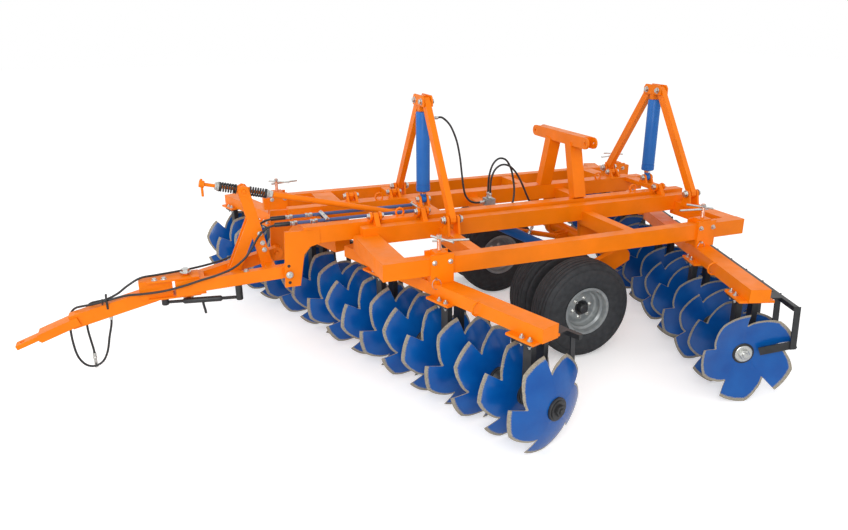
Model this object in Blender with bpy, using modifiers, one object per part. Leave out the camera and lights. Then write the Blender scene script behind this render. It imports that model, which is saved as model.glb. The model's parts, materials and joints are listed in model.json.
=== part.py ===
"""Trailed offset disc harrow with two folding wings, lowered on its discs as it parks.

Metres. X points to the hitch, Y to the machine's left, Z up. Every section below works in one
machine frame, whose X starts under the rear of the wheels; stand_on_origin at the end moves the
whole machine so that its origin is the centre of its footprint, on the ground.
"""
import math

import bmesh
import bpy
from mathutils import Matrix, Vector

LEFT, RIGHT = 1, -1
FIT = 0.0003            # gap between faces that touch
SWING_GAP = 0.01        # gap beside a piece that swings between two plates
BORE_GAP = 0.0003       # radial gap of a pin in its bore

# Frame
BEAM_W, BEAM_H = 0.10, 0.14
CENTRE_TOP = 1.179
CENTRE_Y = 0.307
CENTRE_FRONT, CENTRE_REAR = 2.45, -1.25
TIE_W, TIE_H = 0.10, 0.09
TIE_TOP = 1.135
TIE_X = (2.20, 0.70, -0.25)
MAST_TIE_W, MAST_TIE_H = 0.12, 0.04
WING_TOP = 1.155
WING_Y = 0.437
WING_FRONT, WING_REAR = 2.00, -1.20
RAIL_Y = 1.163
RAIL_W, RAIL_H = 0.10, 0.13
RAIL_TOP = 1.098
SLIDE_W = 0.085
FRONT_CROSS_X, FRONT_CROSS_W = 1.97, 0.20
MIDDLE_CROSS_X, MIDDLE_CROSS_W = 1.30, 0.09
THIRD_CROSS_X = -0.09
REAR_CROSS_X, REAR_CROSS_W = -1.13, 0.14
PLATE_T = 0.02

# Folding hinges between the centre frame and each wing
HINGE_Y, HINGE_Z = 0.372, 1.222
HINGE_X = (1.86, 1.45, -0.95)
HINGE_PIN_R = 0.016
HINGE_EYE_R = 0.034
HINGE_LUG_T = 0.04

# Gangs: both rows cross the machine at the same angle and close towards its left side
GANG_ANGLE = math.radians(18.5)
ROW_X = {"front": 2.01, "rear": -1.17}
DISC_R = 0.3555
DISC_DISH = 0.10
DISC_T = 0.006
DISC_MIDDLE_R = 0.12
DISCS_PER_GANG = 9
DISC_PITCH = 0.27
NOTCHES = 5
# A notch's outline as (degrees within its share of the rim, share of the disc's radius)
NOTCH_OUTLINE = ((0, 1.0), (16.5, 1.0), (33, 1.0), (70, 0.70))
FIRST_TWIST, NOTCH_TWIST = math.radians(54), math.radians(23.2)
SPOOL_R = 0.05
SPOOL_SIDES = 8
BEARING_R = 0.085
BEARING_W = 0.09
GANG_BEAM_W, GANG_BEAM_H = 0.15, 0.10
GANG_BEAM_BOTTOM = 0.808
GANG_BEAM_INNER, GANG_BEAM_OUTER = 0.07, DISCS_PER_GANG * DISC_PITCH - 0.12
FOOT_T, FOOT_W, FOOT_L = 0.015, 0.26, 0.24
HANGER_GAPS = (1, 4, 7)
HANGER_T = 0.012
HANGER_LEG_W, HANGER_LEG_L = 0.045, 0.07
HANGER_LEG_OFF = 0.06
SCRAPER_BAR = 0.035
SCRAPER_BACK, SCRAPER_HIGH = 0.25, GANG_BEAM_BOTTOM - FOOT_T - DISC_R - 0.0175
SCRAPER_T = 0.01

# Fold masts
MAST_X = (1.30, -1.10)
MAST_Y, MAST_Z = 0.078, 2.08
LEG_FOOT_Y, LEG_FOOT_Z = 0.65, 1.205
LEG_W, LEG_T = 0.075, 0.05
LEG_PIN_R = 0.016
CYLINDER_R, CYLINDER_BORE = 0.06, 0.048
CYLINDER_LOW, CYLINDER_HIGH = 1.30, MAST_Z - 0.09
CYLINDER_ROD_R = 0.03
CYLINDER_EYE_Z = 1.225
PORT_R, PORT_REACH = 0.014, 0.025      # hose port on a barrel, and how far it stands out
CYLINDER_PORT_Z = CYLINDER_HIGH - 0.06

# Wing rest
REST_X = -0.10
REST_TOP, REST_H, REST_W = 1.745, 0.10, 0.10
REST_Y = 0.385

# Wheels and rocker
SHAFT_X, SHAFT_Z = -0.25, 0.741
SHAFT_R = 0.057
ARM_REACH = 0.602
TYRE_R, TYRE_W = 0.4225, 0.28
TRACK_Y, TWIN_Y = 0.80, 0.195
ARM_T = 0.06
AXLE_R = 0.03
WHEEL_SIDES = 16
RIM_R = 0.19

# Drawbar
DRAW_HINGE = Vector((2.585, 0.0, 0.808))
DRAW_HINGE_Y = 0.30
TRUNNION = Vector((2.85, 0.0, 1.442))
LEVER_REACH = (0.155, -0.02)
LIFT_LEVER_REACH = (0.125, -0.18)
LIFT_Y = 0.16
LIFT_PIVOT = Vector((0.70, LIFT_Y, 0.99))
LIFT_BARREL_R = 0.045
LIFT_PORTS = (0.12, 0.42)              # along the barrel from its pivot
HITCH_HEAD = Vector((4.18, 0.0, 0.535))
TONGUE_START, TONGUE_END = Vector((4.44, 0.0, 0.444)), Vector((4.64, 0.0, 0.374))

# Hydraulics
PIPE_R, PIPE_Y, PIPE_FRONT = 0.014, 0.10, 2.50
PIPE_FITTING_R, PIPE_FITTING_REACH = 0.020, 0.01
PIPE_Z = TIE_TOP + FIT + PIPE_R + 0.004
# A drawbar hose slides in the guide on its pipe's end while the drawbar pitches
GUIDE_START, GUIDE_END, GUIDE_BORE = 2.535, 2.635, 0.0135
HOSE_R = 0.009
HOSE_STEP = 0.054
BLOCK_LOW, BLOCK_HIGH = Vector((0.66, 0.05, TIE_TOP + FIT)), Vector((0.74, 0.15, 1.20))
COUPLER_R = 0.014
HOLDER_LOW, HOLDER_HIGH = Vector((3.945, -0.125, 0.575)), Vector((3.985, -0.045, 0.600))
PARKED_COUPLER = (Vector((3.965, -0.095, 0.505)), Vector((3.965, -0.095, 0.575 - FIT)))
HANGING_COUPLER = (Vector((4.135, -0.135, 0.112)), Vector((4.135, -0.135, 0.035)))

PAINT = {
    "orange": ((0.85, 0.20, 0.01, 1.0), 0.35, 0.0),
    "blue": ((0.012, 0.09, 0.42, 1.0), 0.35, 0.0),
    "black": ((0.02, 0.02, 0.022, 1.0), 0.5, 0.0),
    "rubber": ((0.025, 0.026, 0.028, 1.0), 0.85, 0.0),
    "grey": ((0.33, 0.35, 0.34, 1.0), 0.45, 0.3),
    "zinc": ((0.55, 0.56, 0.55, 1.0), 0.3, 1.0),
}


def clear_scene():
    for item in list(bpy.data.objects):
        bpy.data.objects.remove(item, do_unlink=True)


def material(name):
    """The finish of that name, made on first use."""
    found = bpy.data.materials.get(name)
    if found:
        return found
    colour, roughness, metallic = PAINT[name]
    made = bpy.data.materials.new(name)
    made.use_nodes = True
    shader = made.node_tree.nodes["Principled BSDF"]
    shader.inputs["Base Color"].default_value = colour
    shader.inputs["Roughness"].default_value = roughness
    shader.inputs["Metallic"].default_value = metallic
    return made


def collection(name):
    found = bpy.data.collections.get(name)
    if not found:
        found = bpy.data.collections.new(name)
        bpy.context.scene.collection.children.link(found)
    return found


def loose(mesh, matrix=Matrix.Identity(4)):
    """An unnamed solid in the workshop, ready to be fused into a piece."""
    made = bpy.data.objects.new("loose", mesh)
    made.rotation_mode = "QUATERNION"   # Euler angles lose accuracy on a bar whose X stands upright
    made.matrix_world = matrix
    collection("workshop").objects.link(made)
    return made


def evaluated_mesh(item):
    """The mesh that the item's modifiers or curve give, in world space."""
    bpy.context.view_layer.update()
    graph = bpy.context.evaluated_depsgraph_get()
    mesh = bpy.data.meshes.new_from_object(item.evaluated_get(graph))
    mesh.transform(item.matrix_world)
    return mesh


def drop(item):
    bpy.data.objects.remove(item, do_unlink=True)


def box(low, high):
    mesh = bpy.data.meshes.new("box")
    work = bmesh.new()
    size = [h - l for l, h in zip(low, high)]
    middle = Vector([(h + l) / 2 for l, h in zip(low, high)])
    bmesh.ops.create_cube(work, size=1.0, matrix=Matrix.Translation(middle) @ Matrix.Diagonal((*size, 1.0)))
    work.to_mesh(mesh)
    work.free()
    return loose(mesh)


def axes_along(start, end, up):
    """A frame at start whose Z runs to end and whose X lies nearest to up."""
    z = (Vector(end) - Vector(start)).normalized()
    y = z.cross(Vector(up)).normalized()
    x = y.cross(z)
    return Matrix.Translation(Vector(start)) @ Matrix((x, y, z)).transposed().to_4x4()


def bar(start, end, height, width, up=(0, 0, 1)):
    """A straight bar from start to end; height is measured along up."""
    length = (Vector(end) - Vector(start)).length
    made = box((-height / 2, -width / 2, 0), (height / 2, width / 2, length))
    made.matrix_world = axes_along(start, end, up)
    return made


def rod(start, end, radius, sides=8):
    mesh = bpy.data.meshes.new("rod")
    work = bmesh.new()
    length = (Vector(end) - Vector(start)).length
    bmesh.ops.create_cone(work, cap_ends=True, segments=sides, radius1=radius, radius2=radius, depth=length,
                          matrix=Matrix.Translation((0, 0, length / 2)))
    work.to_mesh(mesh)
    work.free()
    return loose(mesh, axes_along(start, end, (0.1, 0.3, 1)))


def bore(start, end, radius, sides=12):
    """A cutter that leaves at least that radius clear all round."""
    return rod(start, end, radius / math.cos(math.pi / sides), sides)


def arc(centre, radius, start, end, steps):
    """Points on an arc, in degrees."""
    angles = [math.radians(start + (end - start) * k / steps) for k in range(steps + 1)]
    return [(centre[0] + radius * math.cos(a), centre[1] + radius * math.sin(a)) for a in angles]


def plate(outline, thickness, matrix, holes=()):
    """A flat outline with round holes, extruded to its thickness about the matrix's XY plane."""
    flat = bpy.data.curves.new("plate", "CURVE")
    flat.dimensions = "2D"
    flat.fill_mode = "BOTH"
    flat.extrude = thickness / 2
    rings = [outline] + [arc((u, v), r / math.cos(math.pi / 12), 0, 330, 11) for u, v, r in holes]
    for ring in rings:
        spline = flat.splines.new("POLY")
        spline.points.add(len(ring) - 1)
        spline.points.foreach_set("co", [c for u, v in ring for c in (u, v, 0, 1)])
        spline.use_cyclic_u = True
    item = bpy.data.objects.new("plate", flat)
    collection("workshop").objects.link(item)
    mesh = evaluated_mesh(item)
    drop(item)
    work = bmesh.new()
    work.from_mesh(mesh)
    bmesh.ops.remove_doubles(work, verts=work.verts, dist=0.00001)
    bmesh.ops.recalc_face_normals(work, faces=work.faces)
    work.to_mesh(mesh)
    work.free()
    return loose(mesh, matrix)


def across_x(x):
    """Plate frame at that X: U is the machine's Y, V its Z."""
    return Matrix.Translation((x, 0, 0)) @ Matrix(((0, 0, 1), (1, 0, 0), (0, 1, 0))).to_4x4()


def across_y(y):
    """Plate frame at that Y: U is the machine's X, V its Z."""
    return Matrix.Translation((0, y, 0)) @ Matrix(((1, 0, 0), (0, 0, -1), (0, 1, 0))).to_4x4()


def turned(profile, sides, matrix):
    """A profile of (radius, height), read from top to bottom, turned about the matrix's Z."""
    mesh = bpy.data.meshes.new("turned")
    mesh.from_pydata([(r, 0, z) for r, z in profile], [(k, k + 1) for k in range(len(profile) - 1)], [])
    item = bpy.data.objects.new("turned", mesh)
    collection("workshop").objects.link(item)
    screw = item.modifiers.new("Screw", "SCREW")
    screw.steps = screw.render_steps = sides
    screw.use_merge_vertices = True
    screw.merge_threshold = 0.0001
    solid = evaluated_mesh(item)
    drop(item)
    work = bmesh.new()
    work.from_mesh(solid)
    bmesh.ops.remove_doubles(work, verts=work.verts, dist=0.00001)
    bmesh.ops.recalc_face_normals(work, faces=work.faces)
    work.to_mesh(solid)
    work.free()
    return loose(solid, matrix)


def smooth(route, step):
    """Evenly spaced points along a Catmull-Rom curve through a route's own points."""
    points = [Vector(point) for point in route]
    ends = [2 * points[0] - points[1], *points, 2 * points[-1] - points[-2]]
    fine = []
    for a, b, c, d in zip(ends, ends[1:], ends[2:], ends[3:]):
        for t in (k / 16 for k in range(16)):
            fine.append((2 * b + (c - a) * t + (2 * a - 5 * b + 4 * c - d) * t ** 2
                         + (3 * b - a - 3 * c + d) * t ** 3) / 2)
    fine.append(points[-1])
    travelled = [0.0]
    for before, after in zip(fine, fine[1:]):
        travelled.append(travelled[-1] + (after - before).length)
    count = round(travelled[-1] / step)
    even, at = [], 0
    for k in range(count):
        target = travelled[-1] * k / count
        while travelled[at + 1] <= target:
            at += 1
        share = (target - travelled[at]) / (travelled[at + 1] - travelled[at])
        even.append(fine[at].lerp(fine[at + 1], share))
    return even + [fine[-1]]


def tube(points, radius, cyclic=False, roundness=1):
    """A round bar along points, as a mesh."""
    line = bpy.data.curves.new("tube", "CURVE")
    line.dimensions = "3D"
    line.bevel_depth = radius
    line.bevel_resolution = roundness
    line.use_fill_caps = True
    spline = line.splines.new("POLY")
    spline.points.add(len(points) - 1)
    spline.points.foreach_set("co", [c for p in points for c in (*p, 1)])
    spline.use_cyclic_u = cyclic
    item = bpy.data.objects.new("tube", line)
    collection("workshop").objects.link(item)
    mesh = evaluated_mesh(item)
    drop(item)
    work = bmesh.new()
    work.from_mesh(mesh)
    bmesh.ops.remove_doubles(work, verts=work.verts, dist=0.00001)
    bmesh.ops.recalc_face_normals(work, faces=work.faces)
    work.to_mesh(mesh)
    work.free()
    return loose(mesh)


def fuse(name, finish, solids, cutters=(), origin=(0, 0, 0)):
    """Join the solids into one closed piece of that name, less the cutters."""
    first, rest = solids[0], list(solids[1:])
    for operation, items in (("UNION", rest), ("DIFFERENCE", list(cutters))):
        if not items:
            continue
        group = bpy.data.collections.new("operands")
        for item in items:
            group.objects.link(item)
        step = first.modifiers.new(operation, "BOOLEAN")
        step.operation = operation
        step.solver = "EXACT"
        step.operand_type = "COLLECTION"
        step.collection = group
    mesh = evaluated_mesh(first)
    for item in [first] + rest + list(cutters):
        drop(item)
    for group in [g for g in bpy.data.collections if g.name.startswith("operands")]:
        bpy.data.collections.remove(group)
    mesh.name = name
    mesh.transform(Matrix.Translation(-Vector(origin)))
    work = bmesh.new()
    work.from_mesh(mesh)
    bmesh.ops.remove_doubles(work, verts=work.verts, dist=0.00002)
    bmesh.ops.dissolve_degenerate(work, edges=work.edges, dist=0.00002)
    work.to_mesh(mesh)
    work.free()
    mesh.materials.clear()
    mesh.materials.append(material(finish))
    mesh.shade_smooth()
    mesh.set_sharp_from_angle(angle=math.radians(35))
    made = bpy.data.objects.new(name, mesh)
    made.location = origin
    collection("Disc harrow").objects.link(made)
    return made


# Centre frame

def hinge_knuckle(x, side):
    """Two plates on a centre beam that hold a fold hinge's pin, and the pin."""
    solids = []
    for away in (-1, 1):
        outline = [(CENTRE_Y - 0.03, CENTRE_TOP - 0.02), (CENTRE_Y + BEAM_W / 2, CENTRE_TOP - 0.02)]
        outline += arc((HINGE_Y, HINGE_Z), HINGE_EYE_R, -45, 160, 4)
        if side == RIGHT:
            outline = [(-u, v) for u, v in outline]
        at = x + away * (HINGE_LUG_T / 2 + SWING_GAP + PLATE_T / 2)
        solids.append(plate(outline, PLATE_T, across_x(at)))
    half = HINGE_LUG_T / 2 + SWING_GAP + PLATE_T + 0.012
    solids.append(rod((x - half, side * HINGE_Y, HINGE_Z), (x + half, side * HINGE_Y, HINGE_Z), HINGE_PIN_R))
    return solids


def front_plate(side):
    """The deep plate at a centre beam's front end that carries the drawbar's hinge."""
    outline = [(2.60, 1.161), (2.32, 1.150), (2.32, 1.04), (2.40, 1.02), (2.455, 0.96), (2.50, 0.70), (2.625, 0.70)]
    return plate(outline, 0.025, across_y(side * (CENTRE_Y + BEAM_W / 2 - 0.0075)))


def ring(centre, radius, thick):
    """A lifting eye, standing across the machine's X."""
    points = [(centre[0] + u, centre[1], centre[2] + v) for u, v in arc((0, 0), radius, 0, 315, 7)]
    return tube(points, thick, cyclic=True)


def cylinder_lugs(x):
    solids = []
    for away in (-1, 1):
        outline = [(-0.06, CENTRE_TOP - 0.01), (0.06, CENTRE_TOP - 0.01)] + arc((0, CYLINDER_EYE_Z), 0.035, 0, 180, 4)
        solids.append(plate(outline, PLATE_T, across_x(x + away * (0.02 + 0.005 + PLATE_T / 2))))
    solids.append(rod((x - 0.06, 0, CYLINDER_EYE_Z), (x + 0.06, 0, CYLINDER_EYE_Z), LEG_PIN_R))
    return solids


def centre_frame():
    solids = []
    for side in (LEFT, RIGHT):
        y = side * CENTRE_Y
        solids.append(box((CENTRE_REAR, y - BEAM_W / 2, CENTRE_TOP - BEAM_H),
                          (CENTRE_FRONT, y + BEAM_W / 2, CENTRE_TOP)))
        solids.append(front_plate(side))
        for x in HINGE_X:
            solids += hinge_knuckle(x, side)
        for x in (1.62, -0.72):
            solids.append(ring((x, y - side * 0.02, CENTRE_TOP + 0.03), 0.035, 0.009))
    for x in TIE_X:
        solids.append(box((x - TIE_W / 2, -CENTRE_Y, TIE_TOP - TIE_H), (x + TIE_W / 2, CENTRE_Y, TIE_TOP)))
    for x in MAST_X:
        solids.append(box((x - MAST_TIE_W / 2, -CENTRE_Y, CENTRE_TOP - MAST_TIE_H),
                          (x + MAST_TIE_W / 2, CENTRE_Y, CENTRE_TOP - 0.002)))
        solids += cylinder_lugs(x)
    hinge_half = CENTRE_Y + BEAM_W / 2 + 0.02
    solids.append(rod((DRAW_HINGE.x, -hinge_half, DRAW_HINGE.z), (DRAW_HINGE.x, -0.21, DRAW_HINGE.z), 0.018))
    solids.append(rod((DRAW_HINGE.x, 0.21, DRAW_HINGE.z), (DRAW_HINGE.x, hinge_half, DRAW_HINGE.z), 0.018))
    for away in (-1, 1):
        at = LIFT_Y + away * (0.02 + 0.005 + PLATE_T / 2)
        outline = [(LIFT_PIVOT.x + 0.05, TIE_TOP - 0.03), (LIFT_PIVOT.x - 0.05, TIE_TOP - 0.03)]
        outline += arc((LIFT_PIVOT.x, LIFT_PIVOT.z), 0.035, 180, 360, 5)
        solids.append(plate(outline, PLATE_T, across_y(at)))
    solids.append(rod((LIFT_PIVOT.x, LIFT_Y - 0.055, LIFT_PIVOT.z), (LIFT_PIVOT.x, LIFT_Y + 0.055, LIFT_PIVOT.z),
                      LEG_PIN_R))
    return fuse("centre_frame", "orange", solids)


def shaft_bearing(side):
    """A hanging plate under a centre beam with the rocker shaft's bore."""
    top = CENTRE_TOP - BEAM_H - FIT
    outline = [(SHAFT_X + 0.13, top), (SHAFT_X - 0.13, top)]
    outline += arc((SHAFT_X, SHAFT_Z), 0.095, 180, 360, 8)
    hole = [(SHAFT_X, SHAFT_Z, SHAFT_R + BORE_GAP)]
    solid = plate(outline, 0.05, across_y(side * CENTRE_Y), hole)
    name = "shaft_bearing_left" if side == LEFT else "shaft_bearing_right"
    return fuse(name, "orange", [solid])


def wing_rest():
    """The T-shaped post between the wings: a cross beam with rounded ears on two splayed legs."""
    solids = [box((REST_X - REST_W / 2, -REST_Y, REST_TOP - REST_H), (REST_X + REST_W / 2, REST_Y, REST_TOP))]
    for side in (LEFT, RIGHT):
        foot = (REST_X, side * CENTRE_Y, CENTRE_TOP + FIT)
        head = (REST_X, side * 0.17, REST_TOP - REST_H + 0.02)
        solids.append(bar(foot, head, 0.12, 0.09, up=(1, 0, 0)))
        for away in (-1, 1):
            outline = [(side * (REST_Y - 0.03), REST_TOP - REST_H), (side * (REST_Y - 0.03), REST_TOP)]
            middle = (side * (REST_Y + 0.05), REST_TOP - REST_H / 2)
            turn = arc(middle, REST_H / 2, 90, -90, 6)
            outline += turn if side == LEFT else [(2 * middle[0] - u, v) for u, v in turn]
            at = REST_X + away * (REST_W / 2 - 0.008)
            hole = [(side * (REST_Y + 0.05), REST_TOP - REST_H / 2, 0.014)]
            solids.append(plate(outline, 0.016, across_x(at), hole))
    cutters = [box((REST_X - 0.2, -1, CENTRE_TOP - 0.2), (REST_X + 0.2, 1, CENTRE_TOP + FIT))]
    return fuse("wing_rest", "orange", solids, cutters)


def hydraulic_pipes():
    """Two steel pipes along the centre frame, with a hose guide on each front end, held by clamps."""
    z = PIPE_Z
    solids, cutters = [], []
    for side in (LEFT, RIGHT):
        y = side * PIPE_Y
        solids.append(rod((PIPE_FRONT, y, z), (MAST_X[0] + MAST_TIE_W / 2 + 0.01, y, z), PIPE_R))
        for x in (PIPE_FRONT, PIPE_FRONT - 0.17):
            solids.append(rod((x - 0.05, y, z), (x + PIPE_FITTING_REACH, y, z), PIPE_FITTING_R))
        solids.append(rod((PIPE_FRONT, y, z), (GUIDE_END, y, z), PIPE_FITTING_R))
        cutters.append(bore((GUIDE_START, y, z - 0.0015), (GUIDE_END + 0.1, y, z - 0.0015), GUIDE_BORE))
    for x in (TIE_X[0] - 0.02, TIE_X[0] + 0.02):
        solids.append(box((x - 0.01, -PIPE_Y - 0.03, TIE_TOP + FIT), (x + 0.01, PIPE_Y + 0.03, TIE_TOP + 0.012)))
    return fuse("hydraulic_pipes", "zinc", solids, cutters)


# Gangs

def gang_axis(row):
    """The row's axis, pointing to the machine's left."""
    lean = -1 if row == "front" else 1
    return Vector((lean * math.sin(GANG_ANGLE), math.cos(GANG_ANGLE), 0))


def gang_frame(row):
    """X to the rear across the row, Y up, Z along the row's axis to the left; origin on the centreline."""
    z = gang_axis(row)
    y = Vector((0, 0, 1))
    x = y.cross(z)
    place = Vector((ROW_X[row], 0, DISC_R))
    return Matrix.Translation(place) @ Matrix((x, y, z)).transposed().to_4x4()


def dish_side(row):
    """+1 where a disc's centre bulges to the left of its rim."""
    return 1 if row == "front" else -1


def disc_places(side):
    """Where the rims of one gang's discs cross its axis, from right to left."""
    places = [side * (k + 0.5) * DISC_PITCH for k in range(DISCS_PER_GANG)]
    return sorted(places)


def hanger_places(side):
    """The middles of the gaps between discs that hold a hanger."""
    places = disc_places(side)
    gaps = HANGER_GAPS if side == LEFT else [DISCS_PER_GANG - 2 - k for k in HANGER_GAPS]
    return [places[k] + DISC_PITCH / 2 for k in gaps]


def dish(radius):
    """How far a disc stands behind the plane of its rim at that radius."""
    ball = (DISC_R ** 2 + DISC_DISH ** 2) / (2 * DISC_DISH)
    return math.sqrt(ball ** 2 - radius ** 2) - math.sqrt(ball ** 2 - DISC_R ** 2)


def disc(twist, bulge):
    """One notched dished disc of even thickness with its rim at Z = 0, closed over its centre."""
    pitch = 360 / NOTCHES
    rim = [(DISC_R * share, math.radians(pitch * k + at) + twist)
           for k in range(NOTCHES) for at, share in NOTCH_OUTLINE]
    middle = [(DISC_MIDDLE_R, math.radians(pitch * k + 17) + twist) for k in range(NOTCHES)]
    mesh = bpy.data.meshes.new("disc")
    work = bmesh.new()
    walls = []
    for away in (-1, 1):
        rings = [[work.verts.new((r * math.cos(a), r * math.sin(a), bulge * dish(r) + away * DISC_T / 2))
                  for r, a in ring] for ring in (rim, middle)]
        walls.append(rings[0])
        for k in range(NOTCHES):
            outer = [rings[0][(4 * k + j) % len(rim)] for j in range(5)]
            near, far = rings[1][k], rings[1][(k + 1) % NOTCHES]
            for corners in ((outer[0], outer[1], near), (outer[1], outer[2], near), (outer[2], far, near),
                            (outer[2], outer[3], far), (outer[3], outer[4], far)):
                work.faces.new(corners)
        work.faces.new(rings[1])
    for k in range(len(rim)):
        after = (k + 1) % len(rim)
        work.faces.new((walls[0][k], walls[0][after], walls[1][after], walls[1][k]))
    bmesh.ops.recalc_face_normals(work, faces=work.faces)
    work.to_mesh(mesh)
    work.free()
    return loose(mesh)


def gang(row, side):
    """Discs and spool shaft that turn together in the hangers' bearings."""
    frame = gang_frame(row)
    places, bulge = disc_places(side), dish_side(row)
    ends = [frame @ Vector((0, 0, places[k] + bulge * DISC_DISH + away)) for k, away in ((0, -0.05), (-1, 0.05))]
    solids = [rod(*ends, SPOOL_R, SPOOL_SIDES)]
    for number, place in enumerate(places):
        item = disc(FIRST_TWIST + number * NOTCH_TWIST, bulge)
        item.matrix_world = frame @ Matrix.Translation((0, 0, place))
        solids.append(item)
    return fuse(f"gang_{row}_{side_name(side)}", "blue", solids, origin=frame.translation)


def side_name(side):
    return "left" if side == LEFT else "right"


def in_gang(frame, low, high):
    """A box given in the gang's frame."""
    made = box(low, high)
    made.matrix_world = frame @ made.matrix_world
    return made


def gang_beam(row, side):
    """The box beam over one gang, with a foot plate above each hanger and a lifting loop."""
    frame = gang_frame(row)
    low = GANG_BEAM_BOTTOM - DISC_R
    ends = sorted((side * GANG_BEAM_INNER, side * GANG_BEAM_OUTER))
    solids = [in_gang(frame, (-GANG_BEAM_W / 2, low, ends[0]), (GANG_BEAM_W / 2, low + GANG_BEAM_H, ends[1]))]
    for place in hanger_places(side):
        solids.append(in_gang(frame, (-FOOT_W / 2, low - FOOT_T, place - FOOT_L / 2),
                              (FOOT_W / 2, low + 0.002, place + FOOT_L / 2)))
    loop = [(-GANG_BEAM_W / 2 + u, low + GANG_BEAM_H / 2 + v) for u, v in arc((0, 0), 0.05, 0, 324, 9)]
    points = [frame @ Vector((u - 0.002, v, side * 1.72)) for u, v in loop]
    solids.append(tube(points, 0.008, cyclic=True))
    return fuse(f"gang_beam_{row}_{side_name(side)}", "orange", solids)


def hangers(row, side):
    """The bearing hangers of one gang, its scraper bar behind them and a scraper for each disc."""
    frame = gang_frame(row)
    bulge = dish_side(row)
    top = GANG_BEAM_BOTTOM - FOOT_T - FIT - DISC_R
    solids, cutters = [], []
    for place in hanger_places(side):
        leg = place + bulge * 0.035
        bearing = place + bulge * 0.07
        half = HANGER_LEG_L / 2
        solids.append(in_gang(frame, (-FOOT_W / 2, top - HANGER_T, leg - 0.06), (SCRAPER_BACK, top, leg + 0.06)))
        for away in (-1, 1):
            inner, outer = away * (HANGER_LEG_OFF - HANGER_LEG_W / 2), away * (HANGER_LEG_OFF + HANGER_LEG_W / 2)
            solids.append(in_gang(frame, (min(inner, outer), 0, leg - half),
                                  (max(inner, outer), top - HANGER_T / 2, leg + half)))
        housing = rod(frame @ Vector((0, 0, bearing - BEARING_W / 2)), frame @ Vector((0, 0, bearing + BEARING_W / 2)),
                      BEARING_R + 0.01)
        solids.append(housing)
        cutters.append(bore(frame @ Vector((0, 0, bearing - 0.1)), frame @ Vector((0, 0, bearing + 0.1)),
                            SPOOL_R + BORE_GAP, 10))
    places = disc_places(side)
    solids.append(in_gang(frame, (SCRAPER_BACK - SCRAPER_BAR / 2, SCRAPER_HIGH - SCRAPER_BAR / 2, places[0] - 0.06),
                          (SCRAPER_BACK + SCRAPER_BAR / 2, SCRAPER_HIGH + SCRAPER_BAR / 2, places[-1] + 0.06)))
    for place in places:
        arm_at = place - bulge * 0.03
        solids.append(bar(frame @ Vector((0.28, SCRAPER_HIGH, arm_at)), frame @ Vector((0.30, 0.085, arm_at)),
                          0.045, SCRAPER_T, up=frame.to_3x3() @ Vector((1, 0, 0))))
        tip = frame @ Vector((0.10, 0.03, place + bulge * 0.055))
        root = frame @ Vector((0.32, 0.125, place - bulge * 0.028))
        solids.append(bar(root, tip, 0.06, SCRAPER_T, up=(0, 0, 1)))
    return fuse(f"hangers_{row}_{side_name(side)}", "black", solids, cutters)


# Wings

def row_x(row, y):
    """Where a row's beam crosses the machine at that Y."""
    axis = gang_axis(row)
    return ROW_X[row] + axis.x / axis.y * y


def rail_bracket(x, side):
    """Plates each side of the rail with a top block and an angle screw; they sit on the gang beam."""
    low, high = GANG_BEAM_BOTTOM + GANG_BEAM_H + FIT, RAIL_TOP + 0.03
    y = side * RAIL_Y
    half = RAIL_W / 2
    solids = [box((x - 0.09, y - half - PLATE_T, low), (x + 0.09, y - half + 0.002, high)),
              box((x - 0.09, y + half - 0.002, low), (x + 0.09, y + half + PLATE_T, high)),
              box((x - 0.05, y - half - 0.002, RAIL_TOP - 0.04), (x + 0.05, y + half + 0.002, RAIL_TOP + 0.04)),
              box((x - 0.08, y - half - 0.002, low), (x + 0.08, y + half + 0.002, RAIL_TOP - RAIL_H + 0.03)),
              rod((x, y, RAIL_TOP + 0.03), (x, y, RAIL_TOP + 0.16), 0.016)]
    return solids


def leg_lugs(x, side):
    """Two plates on the wing between which a mast leg's foot swings."""
    solids = []
    for away in (-1, 1):
        outline = [(LEG_FOOT_Y + 0.06, RAIL_TOP - 0.02), (LEG_FOOT_Y + 0.035, LEG_FOOT_Z)]
        outline += arc((LEG_FOOT_Y, LEG_FOOT_Z), 0.035, 30, 150, 4)
        outline += [(LEG_FOOT_Y - 0.035, LEG_FOOT_Z), (LEG_FOOT_Y - 0.06, RAIL_TOP - 0.02)]
        if side == RIGHT:
            outline = [(-u, v) for u, v in outline]
        at = x + away * (LEG_T / 2 + SWING_GAP + PLATE_T / 2)
        solids.append(plate(outline, PLATE_T, across_x(at)))
        out = x + away * (LEG_T / 2 + SWING_GAP + PLATE_T + 0.012)
        solids.append(rod((at, side * LEG_FOOT_Y, LEG_FOOT_Z), (out, side * LEG_FOOT_Y, LEG_FOOT_Z), 0.022, 6))
    return solids


def wing_lug(x, side):
    """The wing's half of a fold hinge: a lug between the knuckle's plates."""
    outline = [(WING_Y - BEAM_W / 2, WING_TOP - 0.02), (WING_Y + 0.02, WING_TOP - 0.02), (WING_Y + 0.02, WING_TOP)]
    outline += arc((HINGE_Y, HINGE_Z), HINGE_EYE_R - 0.006, 45, 225, 4)
    hole = [(side * HINGE_Y, HINGE_Z, HINGE_PIN_R + BORE_GAP)]
    if side == RIGHT:
        outline = [(-u, v) for u, v in outline]
    return plate(outline, HINGE_LUG_T, across_x(x), hole)


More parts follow.
